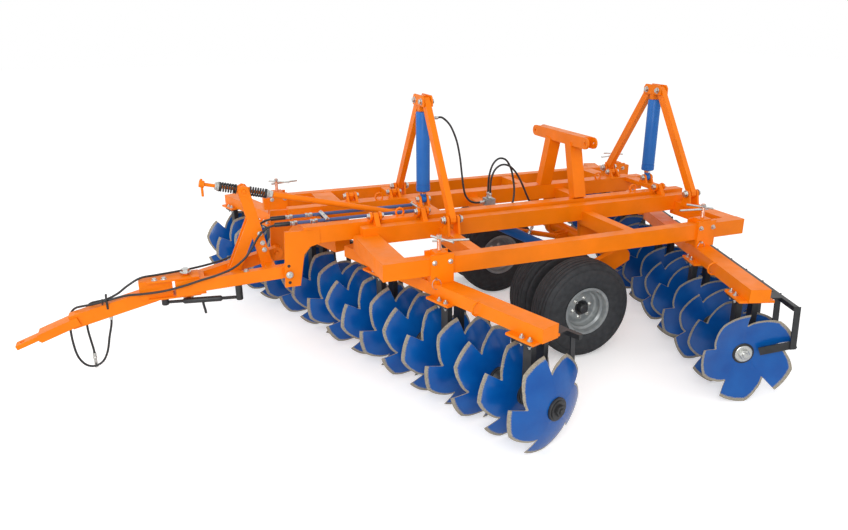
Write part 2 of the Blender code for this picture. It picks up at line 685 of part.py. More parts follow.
def wing_frame(side):
    """One wing's welded frame: hinged beam, outer rail, cross members, brackets and lugs."""
    y = side * WING_Y
    front_bracket, rear_bracket = row_x("front", side * RAIL_Y), row_x("rear", side * RAIL_Y)
    rail_front = max(FRONT_CROSS_X + FRONT_CROSS_W / 2, front_bracket + 0.14)
    rail_rear = min(REAR_CROSS_X - REAR_CROSS_W / 2, rear_bracket - 0.16)
    solids = [box((WING_REAR, y - BEAM_W / 2, WING_TOP - BEAM_H), (WING_FRONT, y + BEAM_W / 2, WING_TOP)),
              box((rail_rear, side * RAIL_Y - RAIL_W / 2, RAIL_TOP - RAIL_H),
                  (rail_front, side * RAIL_Y + RAIL_W / 2, RAIL_TOP))]
    crosses = ((FRONT_CROSS_X, FRONT_CROSS_W), (MIDDLE_CROSS_X, MIDDLE_CROSS_W),
               (THIRD_CROSS_X, MIDDLE_CROSS_W), (REAR_CROSS_X, REAR_CROSS_W))
    for x, width in crosses:
        span = sorted((y, side * RAIL_Y))
        solids.append(box((x - width / 2, span[0], RAIL_TOP - RAIL_H + 0.003),
                          (x + width / 2, span[1], RAIL_TOP - 0.003)))
    for x in (front_bracket, rear_bracket):
        solids += rail_bracket(x, side)
    for x in MAST_X:
        solids += leg_lugs(x, side)
    for x in HINGE_X:
        solids.append(wing_lug(x, side))
    return fuse(f"wing_frame_{side_name(side)}", "orange", solids)


# Fold masts

def crosshead(number, x):
    """The head on top of a fold cylinder, with the pins of the two legs."""
    name = ("front", "rear")[number]
    solids = []
    for away in (-1, 1):
        at = x + away * (LEG_T / 2 + 0.005 + 0.0075)
        outline = [(-MAST_Y - 0.045, MAST_Z - 0.04), (MAST_Y + 0.045, MAST_Z - 0.04),
                   (MAST_Y + 0.045, MAST_Z + 0.02), (MAST_Y + 0.02, MAST_Z + 0.05),
                   (-MAST_Y - 0.02, MAST_Z + 0.05), (-MAST_Y - 0.045, MAST_Z + 0.02)]
        solids.append(plate(outline, 0.015, across_x(at)))
    half = LEG_T / 2 + 0.005 + 0.01
    solids.append(box((x - half, -0.026, CYLINDER_HIGH + FIT), (x + half, 0.026, MAST_Z + 0.045)))
    for side in (LEFT, RIGHT):
        solids.append(rod((x - 0.055, side * MAST_Y, MAST_Z), (x + 0.055, side * MAST_Y, MAST_Z), LEG_PIN_R))
    return fuse(f"crosshead_{name}", "orange", solids)


def mast_leg(number, x, side):
    """A leg from the crosshead down to the wing's lugs."""
    name = ("front", "rear")[number]
    top, foot = Vector((x, side * MAST_Y, MAST_Z)), Vector((x, side * LEG_FOOT_Y, LEG_FOOT_Z))
    solids = [bar(foot, top, LEG_W, LEG_T, up=(0, 1, 0))]
    for centre in (top, foot):
        solids.append(rod(centre - Vector((LEG_T / 2, 0, 0)), centre + Vector((LEG_T / 2, 0, 0)), LEG_W / 2))
    cutters = [bore(top - Vector((0.1, 0, 0)), top + Vector((0.1, 0, 0)), LEG_PIN_R + BORE_GAP)]
    return fuse(f"mast_leg_{name}_{side_name(side)}", "orange", solids, cutters, origin=top)


def fold_cylinder(number, x):
    """A fold cylinder's barrel, hollow below, that rides up its standing rod."""
    name = ("front", "rear")[number]
    rod_bore = (CYLINDER_ROD_R + BORE_GAP) / math.cos(math.pi / 14)
    profile = [(0, CYLINDER_HIGH), (CYLINDER_R - 0.01, CYLINDER_HIGH), (CYLINDER_R, CYLINDER_HIGH - 0.01),
               (CYLINDER_R, CYLINDER_LOW), (rod_bore, CYLINDER_LOW), (rod_bore, CYLINDER_LOW + 0.04),
               (CYLINDER_BORE, CYLINDER_LOW + 0.045), (CYLINDER_BORE, CYLINDER_HIGH - 0.03),
               (0, CYLINDER_HIGH - 0.03)]
    solids = [turned(profile, 14, Matrix.Translation((x, 0, 0))),
              rod((x - (CYLINDER_R + CYLINDER_BORE) / 2, 0, CYLINDER_PORT_Z),
                  (x - CYLINDER_R - PORT_REACH, 0, CYLINDER_PORT_Z), PORT_R)]
    return fuse(f"fold_cylinder_{name}", "blue", solids)


def fold_rod(number, x):
    """The cylinder's rod, pinned between the lugs of the centre frame."""
    name = ("front", "rear")[number]
    top = CYLINDER_HIGH - 0.06
    solids = [rod((x, 0, CYLINDER_EYE_Z), (x, 0, top), CYLINDER_ROD_R),
              rod((x, 0, top - 0.05), (x, 0, top), CYLINDER_BORE - 0.004),
              rod((x - 0.02, 0, CYLINDER_EYE_Z), (x + 0.02, 0, CYLINDER_EYE_Z), 0.033)]
    cutters = [bore((x - 0.2, 0, CYLINDER_EYE_Z), (x + 0.2, 0, CYLINDER_EYE_Z), LEG_PIN_R + BORE_GAP)]
    for away in (-1, 1):
        low = sorted((x + away * 0.02, x + away * 0.1))
        cutters.append(box((low[0], -0.1, CYLINDER_EYE_Z - 0.1), (low[1], 0.1, CYLINDER_EYE_Z + 0.05)))
    return fuse(f"fold_rod_{name}", "zinc", solids, cutters)


# Wheels

def axle_place():
    """The wheels' axle while the tyres stand on the ground, ahead of the shaft and below it."""
    drop_z = SHAFT_Z - TYRE_R
    return Vector((SHAFT_X + math.sqrt(ARM_REACH ** 2 - drop_z ** 2), 0, TYRE_R))


def rocker():
    """The lift shaft across the frame, with an arm between each pair of tyres and the two levers."""
    axle = axle_place()
    solids = [rod((SHAFT_X, -TRACK_Y - ARM_T / 2, SHAFT_Z), (SHAFT_X, TRACK_Y + ARM_T / 2, SHAFT_Z), SHAFT_R, 14)]
    cutters = []
    for side in (LEFT, RIGHT):
        outline = [(SHAFT_X - 0.085, SHAFT_Z - 0.03)]
        outline += arc((SHAFT_X, SHAFT_Z), 0.09, 160, 60, 4)
        outline += [(axle.x - 0.10, SHAFT_Z - 0.06), (axle.x - 0.02, SHAFT_Z - 0.15)]
        outline += arc((axle.x, axle.z), 0.07, 30, -150, 6)
        outline += [(axle.x - 0.17, axle.z + 0.13), (SHAFT_X + 0.06, SHAFT_Z - 0.10)]
        solids.append(plate(outline, ARM_T, across_y(side * TRACK_Y)))
        cutters.append(bore((axle.x, side * TRACK_Y - 0.1, axle.z), (axle.x, side * TRACK_Y + 0.1, axle.z),
                            AXLE_R + BORE_GAP))
    levers = ((0.0, LEVER_REACH, 0.028), (LIFT_Y, LIFT_LEVER_REACH, 0.028))
    for y, reach, half in levers:
        tip = (SHAFT_X + reach[0], SHAFT_Z + reach[1])
        for away in (-1, 1):
            at = y + away * (half + 0.0075)
            start, end = (SHAFT_X, at, SHAFT_Z), (tip[0], at, tip[1])
            solids.append(bar(start, end, 0.07, 0.015, up=(0, 0, 1)))
            solids.append(rod((tip[0], at - 0.0075, tip[1]), (tip[0], at + 0.0075, tip[1]), 0.035))
            solids.append(rod((tip[0], at, tip[1]), (tip[0], at + away * 0.02, tip[1]), 0.02, 6))
    return fuse("rocker", "orange", solids, cutters, origin=(SHAFT_X, 0, SHAFT_Z))


def wheel_frame(side):
    """Z along the axle to the machine's left, origin between the twin wheels."""
    axle = axle_place()
    return Matrix.Translation((axle.x, side * TRACK_Y, axle.z)) @ Matrix.Rotation(-math.pi / 2, 4, "X")


def rims(side):
    """Two rims on one axle, as a single turning piece; the arm's bore passes between them."""
    half = TWIN_Y
    outer = [(0, half + 0.08), (0.05, half + 0.08), (0.055, half + 0.02), (0.16, half + 0.01),
             (0.172, half + 0.125), (RIM_R, half + 0.125), (RIM_R, half - 0.125), (0.172, half - 0.125),
             (0.16, half - 0.01), (0.06, half - 0.01), (0.06, ARM_T / 2 + 0.01), (AXLE_R, ARM_T / 2 + 0.01)]
    profile = outer + [(r, -z) for r, z in reversed(outer)]
    solid = turned(profile, WHEEL_SIDES, wheel_frame(side))
    return fuse(f"wheel_rims_{side_name(side)}", "grey", [solid], origin=wheel_frame(side).translation)


def tyre(side, place):
    """A tyre on its rim, as a closed ring."""
    seat, half = RIM_R + FIT, TYRE_W / 2
    section = [(seat, 0.115), (0.25, half), (0.33, half), (0.395, half - 0.03), (TYRE_R, 0.075)]
    profile = section + [(r, -z) for r, z in reversed(section)]
    ring_points = profile + [profile[0]]
    frame = wheel_frame(side) @ Matrix.Translation((0, 0, place * TWIN_Y))
    solid = turned(ring_points, WHEEL_SIDES, frame)
    name = "outer" if place == side else "inner"
    return fuse(f"tyre_{side_name(side)}_{name}", "rubber", [solid], origin=frame.translation)


# Lift cylinder

def lift_pin():
    return Vector((SHAFT_X + LIFT_LEVER_REACH[0], LIFT_Y, SHAFT_Z + LIFT_LEVER_REACH[1]))


def lift_port(reach, height):
    """A point that far along the lift barrel from its pivot and that far above the barrel's axis."""
    direction = (lift_pin() - LIFT_PIVOT).normalized()
    return LIFT_PIVOT + direction * reach + Vector((direction.z, 0, -direction.x)) * height


def lift_cylinder():
    direction = (lift_pin() - LIFT_PIVOT).normalized()
    start, end = LIFT_PIVOT + direction * 0.05, LIFT_PIVOT + direction * 0.60
    solids = [rod(start, end, LIFT_BARREL_R),
              rod(LIFT_PIVOT, start + direction * 0.01, 0.02),
              rod(LIFT_PIVOT - Vector((0, 0.02, 0)), LIFT_PIVOT + Vector((0, 0.02, 0)), 0.032)]
    cutters = [bore(LIFT_PIVOT - Vector((0, 0.1, 0)), LIFT_PIVOT + Vector((0, 0.1, 0)), LEG_PIN_R + BORE_GAP),
               bore(LIFT_PIVOT + direction * 0.16, LIFT_PIVOT + direction * 0.7, 0.018 + BORE_GAP)]
    for reach in LIFT_PORTS:
        solids.append(rod(lift_port(reach, LIFT_BARREL_R - 0.01), lift_port(reach, LIFT_BARREL_R + PORT_REACH), PORT_R))
    return fuse("lift_cylinder", "blue", solids, cutters, origin=LIFT_PIVOT)


def lift_rod():
    pin = lift_pin()
    direction = (pin - LIFT_PIVOT).normalized()
    solids = [rod(LIFT_PIVOT + direction * 0.30, pin, 0.018),
              rod(pin - Vector((0, 0.02, 0)), pin + Vector((0, 0.02, 0)), 0.03)]
    return fuse("lift_rod", "zinc", solids, origin=pin)


# Drawbar

def drawbar():
    """The hinged A-frame of the drawbar with its upright fork."""
    x0, z0 = DRAW_HINGE.x, DRAW_HINGE.z
    nose = Vector((3.42, 0, 0.70))
    solids = []
    for side in (LEFT, RIGHT):
        root = Vector((x0, side * (DRAW_HINGE_Y - 0.04), z0))
        tip = Vector((nose.x, side * 0.05, nose.z))
        solids.append(bar(root, tip, 0.10, 0.07))
        solids.append(rod(root - Vector((0, 0.04, 0)), root + Vector((0, 0.04, 0)), 0.055))
    solids.append(box((nose.x - 0.20, -0.11, nose.z - 0.055), (nose.x + 0.03, 0.11, nose.z + 0.075)))
    solids.append(bar((2.70, -0.24, 0.79), (2.70, 0.24, 0.79), 0.08, 0.08))
    solids.append(bar((2.98, -0.18, 0.755), (2.98, 0.18, 0.755), 0.08, 0.08))
    for away in (-1, 1):
        y = away * 0.0475
        solids.append(bar((2.70, y, 0.76), (TRUNNION.x, y, TRUNNION.z), 0.09, 0.015, up=(1, 0, 0)))
        solids.append(bar((2.99, y, 0.76), (2.795, y, 1.20), 0.09, 0.013, up=(1, 0, 0)))
        solids.append(rod((TRUNNION.x, y - 0.0085, TRUNNION.z), (TRUNNION.x, y + 0.0085, TRUNNION.z), 0.045))
    solids.append(box((2.74, -0.05, 1.0), (2.79, 0.05, 1.06)))
    cutters = [bore((x0, -0.5, z0), (x0, 0.5, z0), 0.018 + BORE_GAP),
               bore((3.36, 0, 0.5), (3.36, 0, 0.9), 0.02 + BORE_GAP)]
    for away in (-1, 1):
        cutters.append(bore((TRUNNION.x, away * 0.02, TRUNNION.z), (TRUNNION.x, away * 0.1, TRUNNION.z),
                            0.016 + BORE_GAP))
    return fuse("drawbar", "orange", solids, cutters, origin=DRAW_HINGE)


def hitch_head():
    """The block that the tongue comes out of, its front end drawn in to the tongue's own thickness."""
    way = (TONGUE_END - HITCH_HEAD).normalized()
    reach = (TONGUE_END - HITCH_HEAD).length * 0.65
    side = [(0, -0.035), (reach - 0.012, -0.035), (reach, -0.017), (reach, 0.017), (reach - 0.012, 0.035), (0, 0.035)]
    outline = [(HITCH_HEAD.x + way.x * u - way.z * v, HITCH_HEAD.z + way.z * u + way.x * v) for u, v in side]
    return plate(outline, 0.14, across_y(0))


def draw_tube():
    """The front tube of the drawbar: joint plates round the A-frame's nose, tube and hitch tongue."""
    solids = [box((3.26, -0.09, 0.775 + FIT), (3.66, 0.09, 0.79)),
              box((3.26, -0.09, 0.630), (3.66, 0.09, 0.645 - FIT)),
              box((3.47, -0.06, 0.635), (3.72, 0.06, 0.785)),
              bar((3.60, 0, 0.665), (4.24, 0, 0.52), 0.11, 0.10),
              hitch_head(),
              bar(TONGUE_START, TONGUE_END, 0.035, 0.09),
              rod((3.36, 0, 0.60), (3.36, 0, 0.81), 0.02),
              box(HOLDER_LOW, HOLDER_HIGH)]
    cutters = [rod((4.60, 0, 0.2), (4.60, 0, 0.6), 0.018, 12)]
    return fuse("draw_tube", "orange", solids, cutters)


def levelling_direction():
    eye = Vector((SHAFT_X + LEVER_REACH[0], 0, SHAFT_Z + LEVER_REACH[1]))
    return (TRUNNION - eye).normalized(), eye


def levelling_rod():
    """Rod from the rocker's lever through the trunnion, with its stops, nuts and crank handle."""
    direction, eye = levelling_direction()
    front = TRUNNION + direction * 0.33
    solids = [rod(eye, TRUNNION - direction * 0.24, 0.024),
              rod(TRUNNION - direction * 0.26, front, 0.014),
              rod(eye - Vector((0, 0.0125, 0)), eye + Vector((0, 0.0125, 0)), 0.03),
              rod(TRUNNION - Vector((0, 0.03, 0)), TRUNNION + Vector((0, 0.03, 0)), 0.035),
              rod(TRUNNION - Vector((0, 0.065, 0)), TRUNNION + Vector((0, 0.065, 0)), 0.016)]
    for start, end, radius in ((-0.24, -0.19, 0.035), (0.19, 0.22, 0.04), (-0.05, 0.05, 0.032)):
        solids.append(rod(TRUNNION + direction * start, TRUNNION + direction * end, radius))
    solids.append(rod(front - direction * 0.03, front + direction * 0.01, 0.028))
    cross = front - direction * 0.01
    solids.append(rod(cross + Vector((0, 0, 0.04)), cross - Vector((0, 0, 0.10)), 0.010, 8))
    cutters = []
    for away in (-1, 1):
        low = sorted((away * 0.0125, away * 0.1))
        cutters.append(box((eye.x - 0.08, low[0], eye.z - 0.08), (eye.x + 0.05, low[1], eye.z + 0.08)))
    return fuse("levelling_rod", "orange", solids, cutters, origin=TRUNNION)


def levelling_spring(number):
    """A coil spring between the trunnion and a stop of the levelling rod."""
    direction, _ = levelling_direction()
    sign = (1, -1)[number]
    turns, steps, radius, wire = 5, 7, 0.034, 0.006
    start, end = 0.05 + FIT + 0.88 * wire, 0.19 - FIT - 0.88 * wire
    frame = axes_along(TRUNNION, TRUNNION + direction * sign, (0, 1, 0))
    count = turns * steps
    points = []
    for k in range(count + 1):
        angle = 2 * math.pi * k / steps
        along = start + (end - start) * k / count
        points.append(frame @ Vector((radius * math.cos(angle), radius * math.sin(angle), along)))
    name = ("front", "rear")[number]
    return fuse(f"levelling_spring_{name}", "black", [tube(points, wire)])


def turnbuckle():
    """The screw link that holds the draw tube's side angle, under the joint on the left."""
    start, end = Vector((3.54, 0.03, 0.585)), Vector((2.97, 0.17, 0.60))
    solids = [rod(start, end, 0.014, 8),
              rod(start.lerp(end, 0.25), start.lerp(end, 0.75), 0.024, 8),
              rod(start - Vector((0, 0, 0.02)), (*start.xy, 0.63 - FIT), 0.028),
              rod(end - Vector((0, 0, 0.02)), (*end.xy, 0.704 - FIT), 0.028),
              rod(start.lerp(end, 0.5), start.lerp(end, 0.5) - Vector((0, 0, 0.12)), 0.010, 8)]
    return fuse("turnbuckle", "black", solids)


# Hoses, each on a route whose points are chosen by hand

def hose(name, route):
    """A plain hose along the smooth curve through its route's points."""
    return fuse(f"hose_{name}", "black", [tube(smooth(route, HOSE_STEP), HOSE_R, roundness=2)])


def distributor_block():
    """The block on the middle tie that the hoses of the fold and lift circuits meet in."""
    return fuse("distributor_block", "grey", [box(BLOCK_LOW, BLOCK_HIGH)])


def coupler(side):
    """A hose's end coupler: one parked under the draw tube's holder, one hanging."""
    ends = PARKED_COUPLER if side == LEFT else HANGING_COUPLER
    return fuse(f"coupler_{side_name(side)}", "zinc", [rod(*ends, COUPLER_R)])


def guided(x, side):
    """A drawbar hose's place in its guide: on a circle about the drawbar's hinge, so that it slides there."""
    radius = PIPE_Z - DRAW_HINGE.z
    return (x, side * PIPE_Y, DRAW_HINGE.z + math.sqrt(radius ** 2 - (x - DRAW_HINGE.x) ** 2))


def drawbar_hose(side):
    """From a pipe's hose guide down beside the A-frame, along the draw tube and down in a loop."""
    start = [guided(x, side) for x in (2.585, 2.61, 2.635, 2.66, 2.69)]
    left = [*start, (2.735, 0.104, 1.110), (2.785, 0.118, 1.060), (2.835, 0.136, 0.990), (2.90, 0.150, 0.915),
            (3.00, 0.166, 0.850), (3.12, 0.172, 0.812), (3.25, 0.152, 0.778), (3.40, 0.132, 0.738),
            (3.55, 0.116, 0.712), (3.70, 0.088, 0.700), (3.82, 0.052, 0.692), (3.95, 0.038, 0.668),
            (4.06, 0.025, 0.645), (4.14, -0.005, 0.630), (4.205, -0.055, 0.602), (4.248, -0.092, 0.545),
            (4.270, -0.102, 0.44), (4.270, -0.102, 0.29), (4.252, -0.102, 0.165), (4.205, -0.102, 0.085),
            (4.140, -0.102, 0.062), (4.075, -0.102, 0.095), (4.030, -0.102, 0.18), (4.000, -0.100, 0.30),
            (3.975, -0.096, 0.39), PARKED_COUPLER[0] - Vector((0, 0, 0.06)),
            PARKED_COUPLER[0] - Vector((0, 0, FIT))]
    right = [*start, (2.735, -0.103, 1.110), (2.785, -0.115, 1.060), (2.835, -0.130, 0.990),
             (2.90, -0.140, 0.912), (3.00, -0.135, 0.848), (3.12, -0.112, 0.824), (3.26, -0.075, 0.814),
             (3.42, -0.045, 0.809),
             (3.58, -0.018, 0.808), (3.70, 0.0, 0.805), (3.80, 0.006, 0.757), (3.88, 0.006, 0.702),
             (3.97, 0.0, 0.662), (4.035, -0.02, 0.648), (4.09, -0.06, 0.625), (4.128, -0.105, 0.575),
             (4.148, -0.130, 0.49), (4.152, -0.135, 0.38), (4.143, -0.135, 0.27),
             HANGING_COUPLER[0] + Vector((0, 0, 0.08)), HANGING_COUPLER[0] + Vector((0, 0, FIT))]
    return hose(f"drawbar_{side_name(side)}", left if side == LEFT else right)


def mast_hose():
    """A tall arc from the front fold cylinder's port down to the front of the block."""
    return hose("frame_arc", [
        (MAST_X[0] - CYLINDER_R - PORT_REACH - FIT, 0, CYLINDER_PORT_Z), (1.165, 0, CYLINDER_PORT_Z),
        (1.125, 0, CYLINDER_PORT_Z), (1.075, 0.014, 1.888),
        (1.04, 0.03, 1.83), (1.00, 0.045, 1.72), (0.975, 0.06, 1.58), (0.962, 0.075, 1.44), (0.952, 0.09, 1.33),
        (0.935, 0.097, 1.25), (0.895, 0.10, 1.195), (0.84, 0.10, 1.171), (0.79, 0.10, 1.168),
        (BLOCK_HIGH.x + FIT, 0.10, 1.168)])


def lift_hose(number):
    """A loop that rises from the block, straight above the lift pivot, to a port of the lift cylinder."""
    height = LIFT_BARREL_R + PORT_REACH + FIT
    ends = [lift_port(LIFT_PORTS[number], height + more) for more in (0.09, 0.05, 0.0)]
    x, top = LIFT_PIVOT.x, BLOCK_HIGH.z + FIT
    front = [(x, 0.078, top), (x, 0.078, 1.26), (x, 0.078, 1.32), (0.692, 0.082, 1.42), (0.662, 0.090, 1.51),
             (0.605, 0.092, 1.553), (0.540, 0.098, 1.535), (0.494, 0.106, 1.46), (0.472, 0.120, 1.36),
             (0.467, 0.138, 1.26), (0.482, 0.152, 1.17)]
    rear = [(x, 0.122, top), (x, 0.122, 1.26), (x, 0.122, 1.32), (0.690, 0.123, 1.40), (0.655, 0.125, 1.468),
            (0.595, 0.130, 1.502), (0.525, 0.136, 1.487), (0.460, 0.142, 1.425), (0.405, 0.147, 1.335),
            (0.352, 0.151, 1.225), (0.303, 0.155, 1.125), (0.265, 0.158, 1.045), (0.250, 0.160, 0.990)]
    return hose(("lift_front", "lift_rear")[number], (front, rear)[number] + ends)


def stand_on_origin(pieces):
    """Move the machine so that its footprint's centre on the ground is the origin."""
    bpy.context.view_layer.update()
    corners = [piece.matrix_world @ Vector(corner) for piece in pieces for corner in piece.bound_box]
    middle = Vector((0, 0, 0))
    for axis in (0, 1):
        middle[axis] = (min(c[axis] for c in corners) + max(c[axis] for c in corners)) / 2
    middle.z = min(c.z for c in corners)
    for piece in pieces:
        piece.location -= middle
    return middle


def build():
    clear_scene()
    pieces = [centre_frame(), wing_rest(), hydraulic_pipes(), rocker(), lift_cylinder(), lift_rod(), drawbar(),
              draw_tube(), levelling_rod(), turnbuckle()]
    for side in (LEFT, RIGHT):
        pieces += [shaft_bearing(side), wing_frame(side), rims(side), tyre(side, 1), tyre(side, -1)]
        for row in ("front", "rear"):
            pieces += [gang(row, side), gang_beam(row, side), hangers(row, side)]
    for number, x in enumerate(MAST_X):
        pieces += [crosshead(number, x), fold_cylinder(number, x), fold_rod(number, x)]
        pieces += [mast_leg(number, x, side) for side in (LEFT, RIGHT)]
    for number in (0, 1):
        pieces += [levelling_spring(number), lift_hose(number)]
    for side in (LEFT, RIGHT):
        pieces += [drawbar_hose(side), coupler(side)]
    pieces += [distributor_block(), mast_hose()]
    return pieces, stand_on_origin(pieces)


if __name__ == "__main__":
    build()
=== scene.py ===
"""Looks of the trailed offset disc harrow, laid out as a Blender add-on and run as a script."""
import json
import math

import bmesh
import bpy
import numpy as np
from bpy.props import FloatProperty, FloatVectorProperty, IntProperty, PointerProperty
from mathutils import Matrix, Vector


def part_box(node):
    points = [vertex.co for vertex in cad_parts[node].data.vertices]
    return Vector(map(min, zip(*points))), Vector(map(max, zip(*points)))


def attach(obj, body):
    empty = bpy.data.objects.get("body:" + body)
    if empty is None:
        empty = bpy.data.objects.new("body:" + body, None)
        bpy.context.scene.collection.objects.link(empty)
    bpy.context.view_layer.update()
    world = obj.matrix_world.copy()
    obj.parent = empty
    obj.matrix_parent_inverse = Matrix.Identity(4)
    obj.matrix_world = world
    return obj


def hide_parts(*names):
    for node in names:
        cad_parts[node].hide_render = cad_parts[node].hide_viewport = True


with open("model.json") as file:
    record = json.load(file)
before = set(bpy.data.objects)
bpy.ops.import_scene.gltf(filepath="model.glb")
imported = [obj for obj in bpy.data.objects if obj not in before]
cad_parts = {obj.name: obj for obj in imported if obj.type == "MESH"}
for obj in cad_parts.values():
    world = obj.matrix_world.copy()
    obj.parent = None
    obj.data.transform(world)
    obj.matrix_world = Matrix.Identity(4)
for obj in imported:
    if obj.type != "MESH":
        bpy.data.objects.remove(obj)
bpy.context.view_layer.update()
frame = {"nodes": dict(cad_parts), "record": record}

bl_info = {
    "name": "Disc harrow",
    "version": (1, 0, 0),
    "blender": (4, 5, 0),
    "location": "View3D > Sidebar > Disc harrow",
    "description": "Dresses the packed disc harrow with its discs, tyres, hoses, fasteners and finishes",
    "category": "Object",
}

# Sizes that the solids were built with, in metres, in the machine's own frame
LEFT, RIGHT = 1, -1
SIDE = {LEFT: "left", RIGHT: "right"}
GANG_ANGLE = math.radians(18.5)
ROW_X = {"front": 2.01, "rear": -1.17}
BULGE = {"front": LEFT, "rear": RIGHT}        # the side to which a row's discs bulge
DISC_R, DISC_DISH, DISC_T = 0.3555, 0.10, 0.006
DISCS, DISC_PITCH = 9, 0.27
NOTCHES = 5
FIRST_TWIST, NOTCH_TWIST = math.radians(54), math.radians(23.2)
SHAFT_X, SHAFT_Z, ARM_REACH = -0.25, 0.741, 0.602
TYRE_R, TYRE_W = 0.4225, 0.28
TRACK_Y, TWIN_Y = 0.80, 0.195
AXLE_X = SHAFT_X + math.sqrt(ARM_REACH ** 2 - (SHAFT_Z - TYRE_R) ** 2)
RAIL_Y, RAIL_TOP, RAIL_W = 1.163, 1.098, 0.10
TIE_TOP = 1.135
PLATE_T, FIT = 0.02, 0.0003
HINGE_Y, HINGE_Z, HINGE_X, HINGE_LUG_HALF = 0.372, 1.222, (1.86, 1.45, -0.95), 0.02
MAST_X, MAST_Y, MAST_Z = {"front": 1.30, "rear": -1.10}, 0.078, 2.08
LEG_FOOT_Y, LEG_FOOT_Z = 0.65, 1.205
BARREL_R, BARREL_BORE, BARREL_LOW, BARREL_HIGH = 0.06, 0.048, 1.30, 1.99
PORT_Z, PORT_REACH, PORT_R = 1.93, 0.025, 0.014
ROD_R, ROD_EYE_Z = 0.03, 1.225
GANG_BEAM_LOW, FOOT_T = 0.808 - DISC_R, 0.015
HANGER_GAPS = {LEFT: (1, 4, 7), RIGHT: (0, 3, 6)}
DRAW_HINGE = np.array((2.585, 0.0, 0.808))
FRONT_PLATE_FACE = 0.362
TRUNNION = np.array((2.85, 0.0, 1.442))
LEVER_EYE = np.array((SHAFT_X + 0.155, 0.0, SHAFT_Z - 0.02))
LIFT_PIVOT = np.array((0.70, 0.16, 0.99))
LIFT_PIN = np.array((SHAFT_X + 0.125, 0.16, SHAFT_Z - 0.18))
LIFT_BARREL_R, LIFT_ROD_R, LIFT_PORTS = 0.045, 0.018, (0.12, 0.42)
PIPE_Y, PIPE_Z, PIPE_R, PIPE_FRONT = 0.10, 1.1533, 0.014, 2.51
GUIDE_START, GUIDE_END, GUIDE_BORE = 2.535, 2.635, 0.0135
BLOCK_TOP, BLOCK_FRONT = 1.20, 0.74
CLAMP_X = (2.20, 1.36)
PARKED_COUPLER, HANGING_COUPLER = np.array((3.965, -0.095, 0.505)), np.array((4.135, -0.135, 0.112))

# Sizes of the pieces that only the looks have, in metres
PIN_HEAD_R, LEG_PIN_R, CHEEK_FACE, LEG_FACE = 0.022, 0.026, 0.0455, 0.067
FLANGE_R, FLANGE_T, SPOOL_R = 0.082, 0.012, 0.072
FLANK_BULGE, HUB_R, EDGE_SHARE = 0.008, 0.045, 0.22
HOSE_STEP, ROUTE_STEPS = 0.018, 24
STUD_CIRCLE, STUDS = 0.084, 6
WHITE = (1, 1, 1, 1)
MM_PER_M, NOISE_DETAIL = 1000, 3.0


def machine_origin():
    """Where the machine's own origin lies in the row frame, found from the left outer tyre."""
    low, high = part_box("tyre_left_outer")
    return Vector(((low[0] + high[0]) / 2 - AXLE_X, (low[1] + high[1]) / 2 - TRACK_Y - TWIN_Y, low[2]))


ORIGIN = machine_origin()
SHIFT = np.array(ORIGIN)


# Settings

class HarrowLook(bpy.types.PropertyGroup):
    """Sizes and colours that a user would change."""
    paint: FloatVectorProperty(name="Frame paint", description="Colour of the frame's enamel",
                               subtype="COLOR_GAMMA", default=(0.965, 0.495, 0.010), min=0, max=1)
    blue: FloatVectorProperty(name="Disc paint", description="Colour of the discs' enamel",
                              subtype="COLOR_GAMMA", default=(0.004, 0.290, 0.590), min=0, max=1)
    rim_band: FloatProperty(name="Bare edge", description="Width of the ground edge of a disc", unit="LENGTH",
                            default=0.0055, min=0.0, max=0.03)
    rim_steps: IntProperty(name="Rim steps", description="Points between two corners of a disc's outline",
                           default=5, min=2, max=12)
    hose: FloatProperty(name="Hose", description="Outer diameter of a hydraulic hose", unit="LENGTH",
                        default=0.018, min=0.01, max=0.03)


def look():
    return bpy.context.scene.harrow_look


# Materials

def linear(hex_colour):
    """sRGB hex to linear RGBA: each channel c becomes c/12.92 below 0.04045, else ((c+0.055)/1.055)^2.4."""
    text = hex_colour.lstrip("#")
    channels = [int(text[i:i + 2], 16) / 255 for i in (0, 2, 4)]
    return (*[c / 12.92 if c <= 0.04045 else ((c + 0.055) / 1.055) ** 2.4 for c in channels], 1.0)


def hex_of(colour):
    return "#" + "".join(f"{round(c * 255):02x}" for c in colour)


def node(tree, kind, inputs=None, **settings):
    """Add one node; inputs maps a socket to a value or to another node's output."""
    made = tree.nodes.new(kind)
    for key, value in settings.items():
        setattr(made, key, value)
    for key, value in (inputs or {}).items():
        if isinstance(value, bpy.types.NodeSocket):
            tree.links.new(value, made.inputs[key])
        else:
            made.inputs[key].default_value = value
    return made


def start_material(name, roughness, metallic=0.0, coat=0.0, shine=0.5):
    """A new material with its tree, its shader and the object's own coordinates."""
    made = bpy.data.materials.new(name)
    made.use_nodes = True
    tree = made.node_tree
    shader = tree.nodes["Principled BSDF"]
    shader.inputs["Roughness"].default_value = roughness
    shader.inputs["Metallic"].default_value = metallic
    shader.inputs["Coat Weight"].default_value = coat
    shader.inputs["Coat Roughness"].default_value = 0.12
    shader.inputs["Specular IOR Level"].default_value = shine
    place = node(tree, "ShaderNodeTexCoord").outputs["Object"]
    return made, tree, shader, place


def tones(tree, place, millimetres, dark, light):
    """Two tones in patches of about that size; a tone is where it stands on the ramp and its hex colour."""
    cloud = node(tree, "ShaderNodeTexNoise",
                 {"Vector": place, "Scale": MM_PER_M / millimetres, "Detail": NOISE_DETAIL})
    made = node(tree, "ShaderNodeValToRGB", {"Fac": cloud.outputs["Fac"]})
    for element, (stop, colour) in zip(made.color_ramp.elements, (dark, light)):
        element.position = stop
        element.color = linear(colour)
    return made.outputs["Color"]


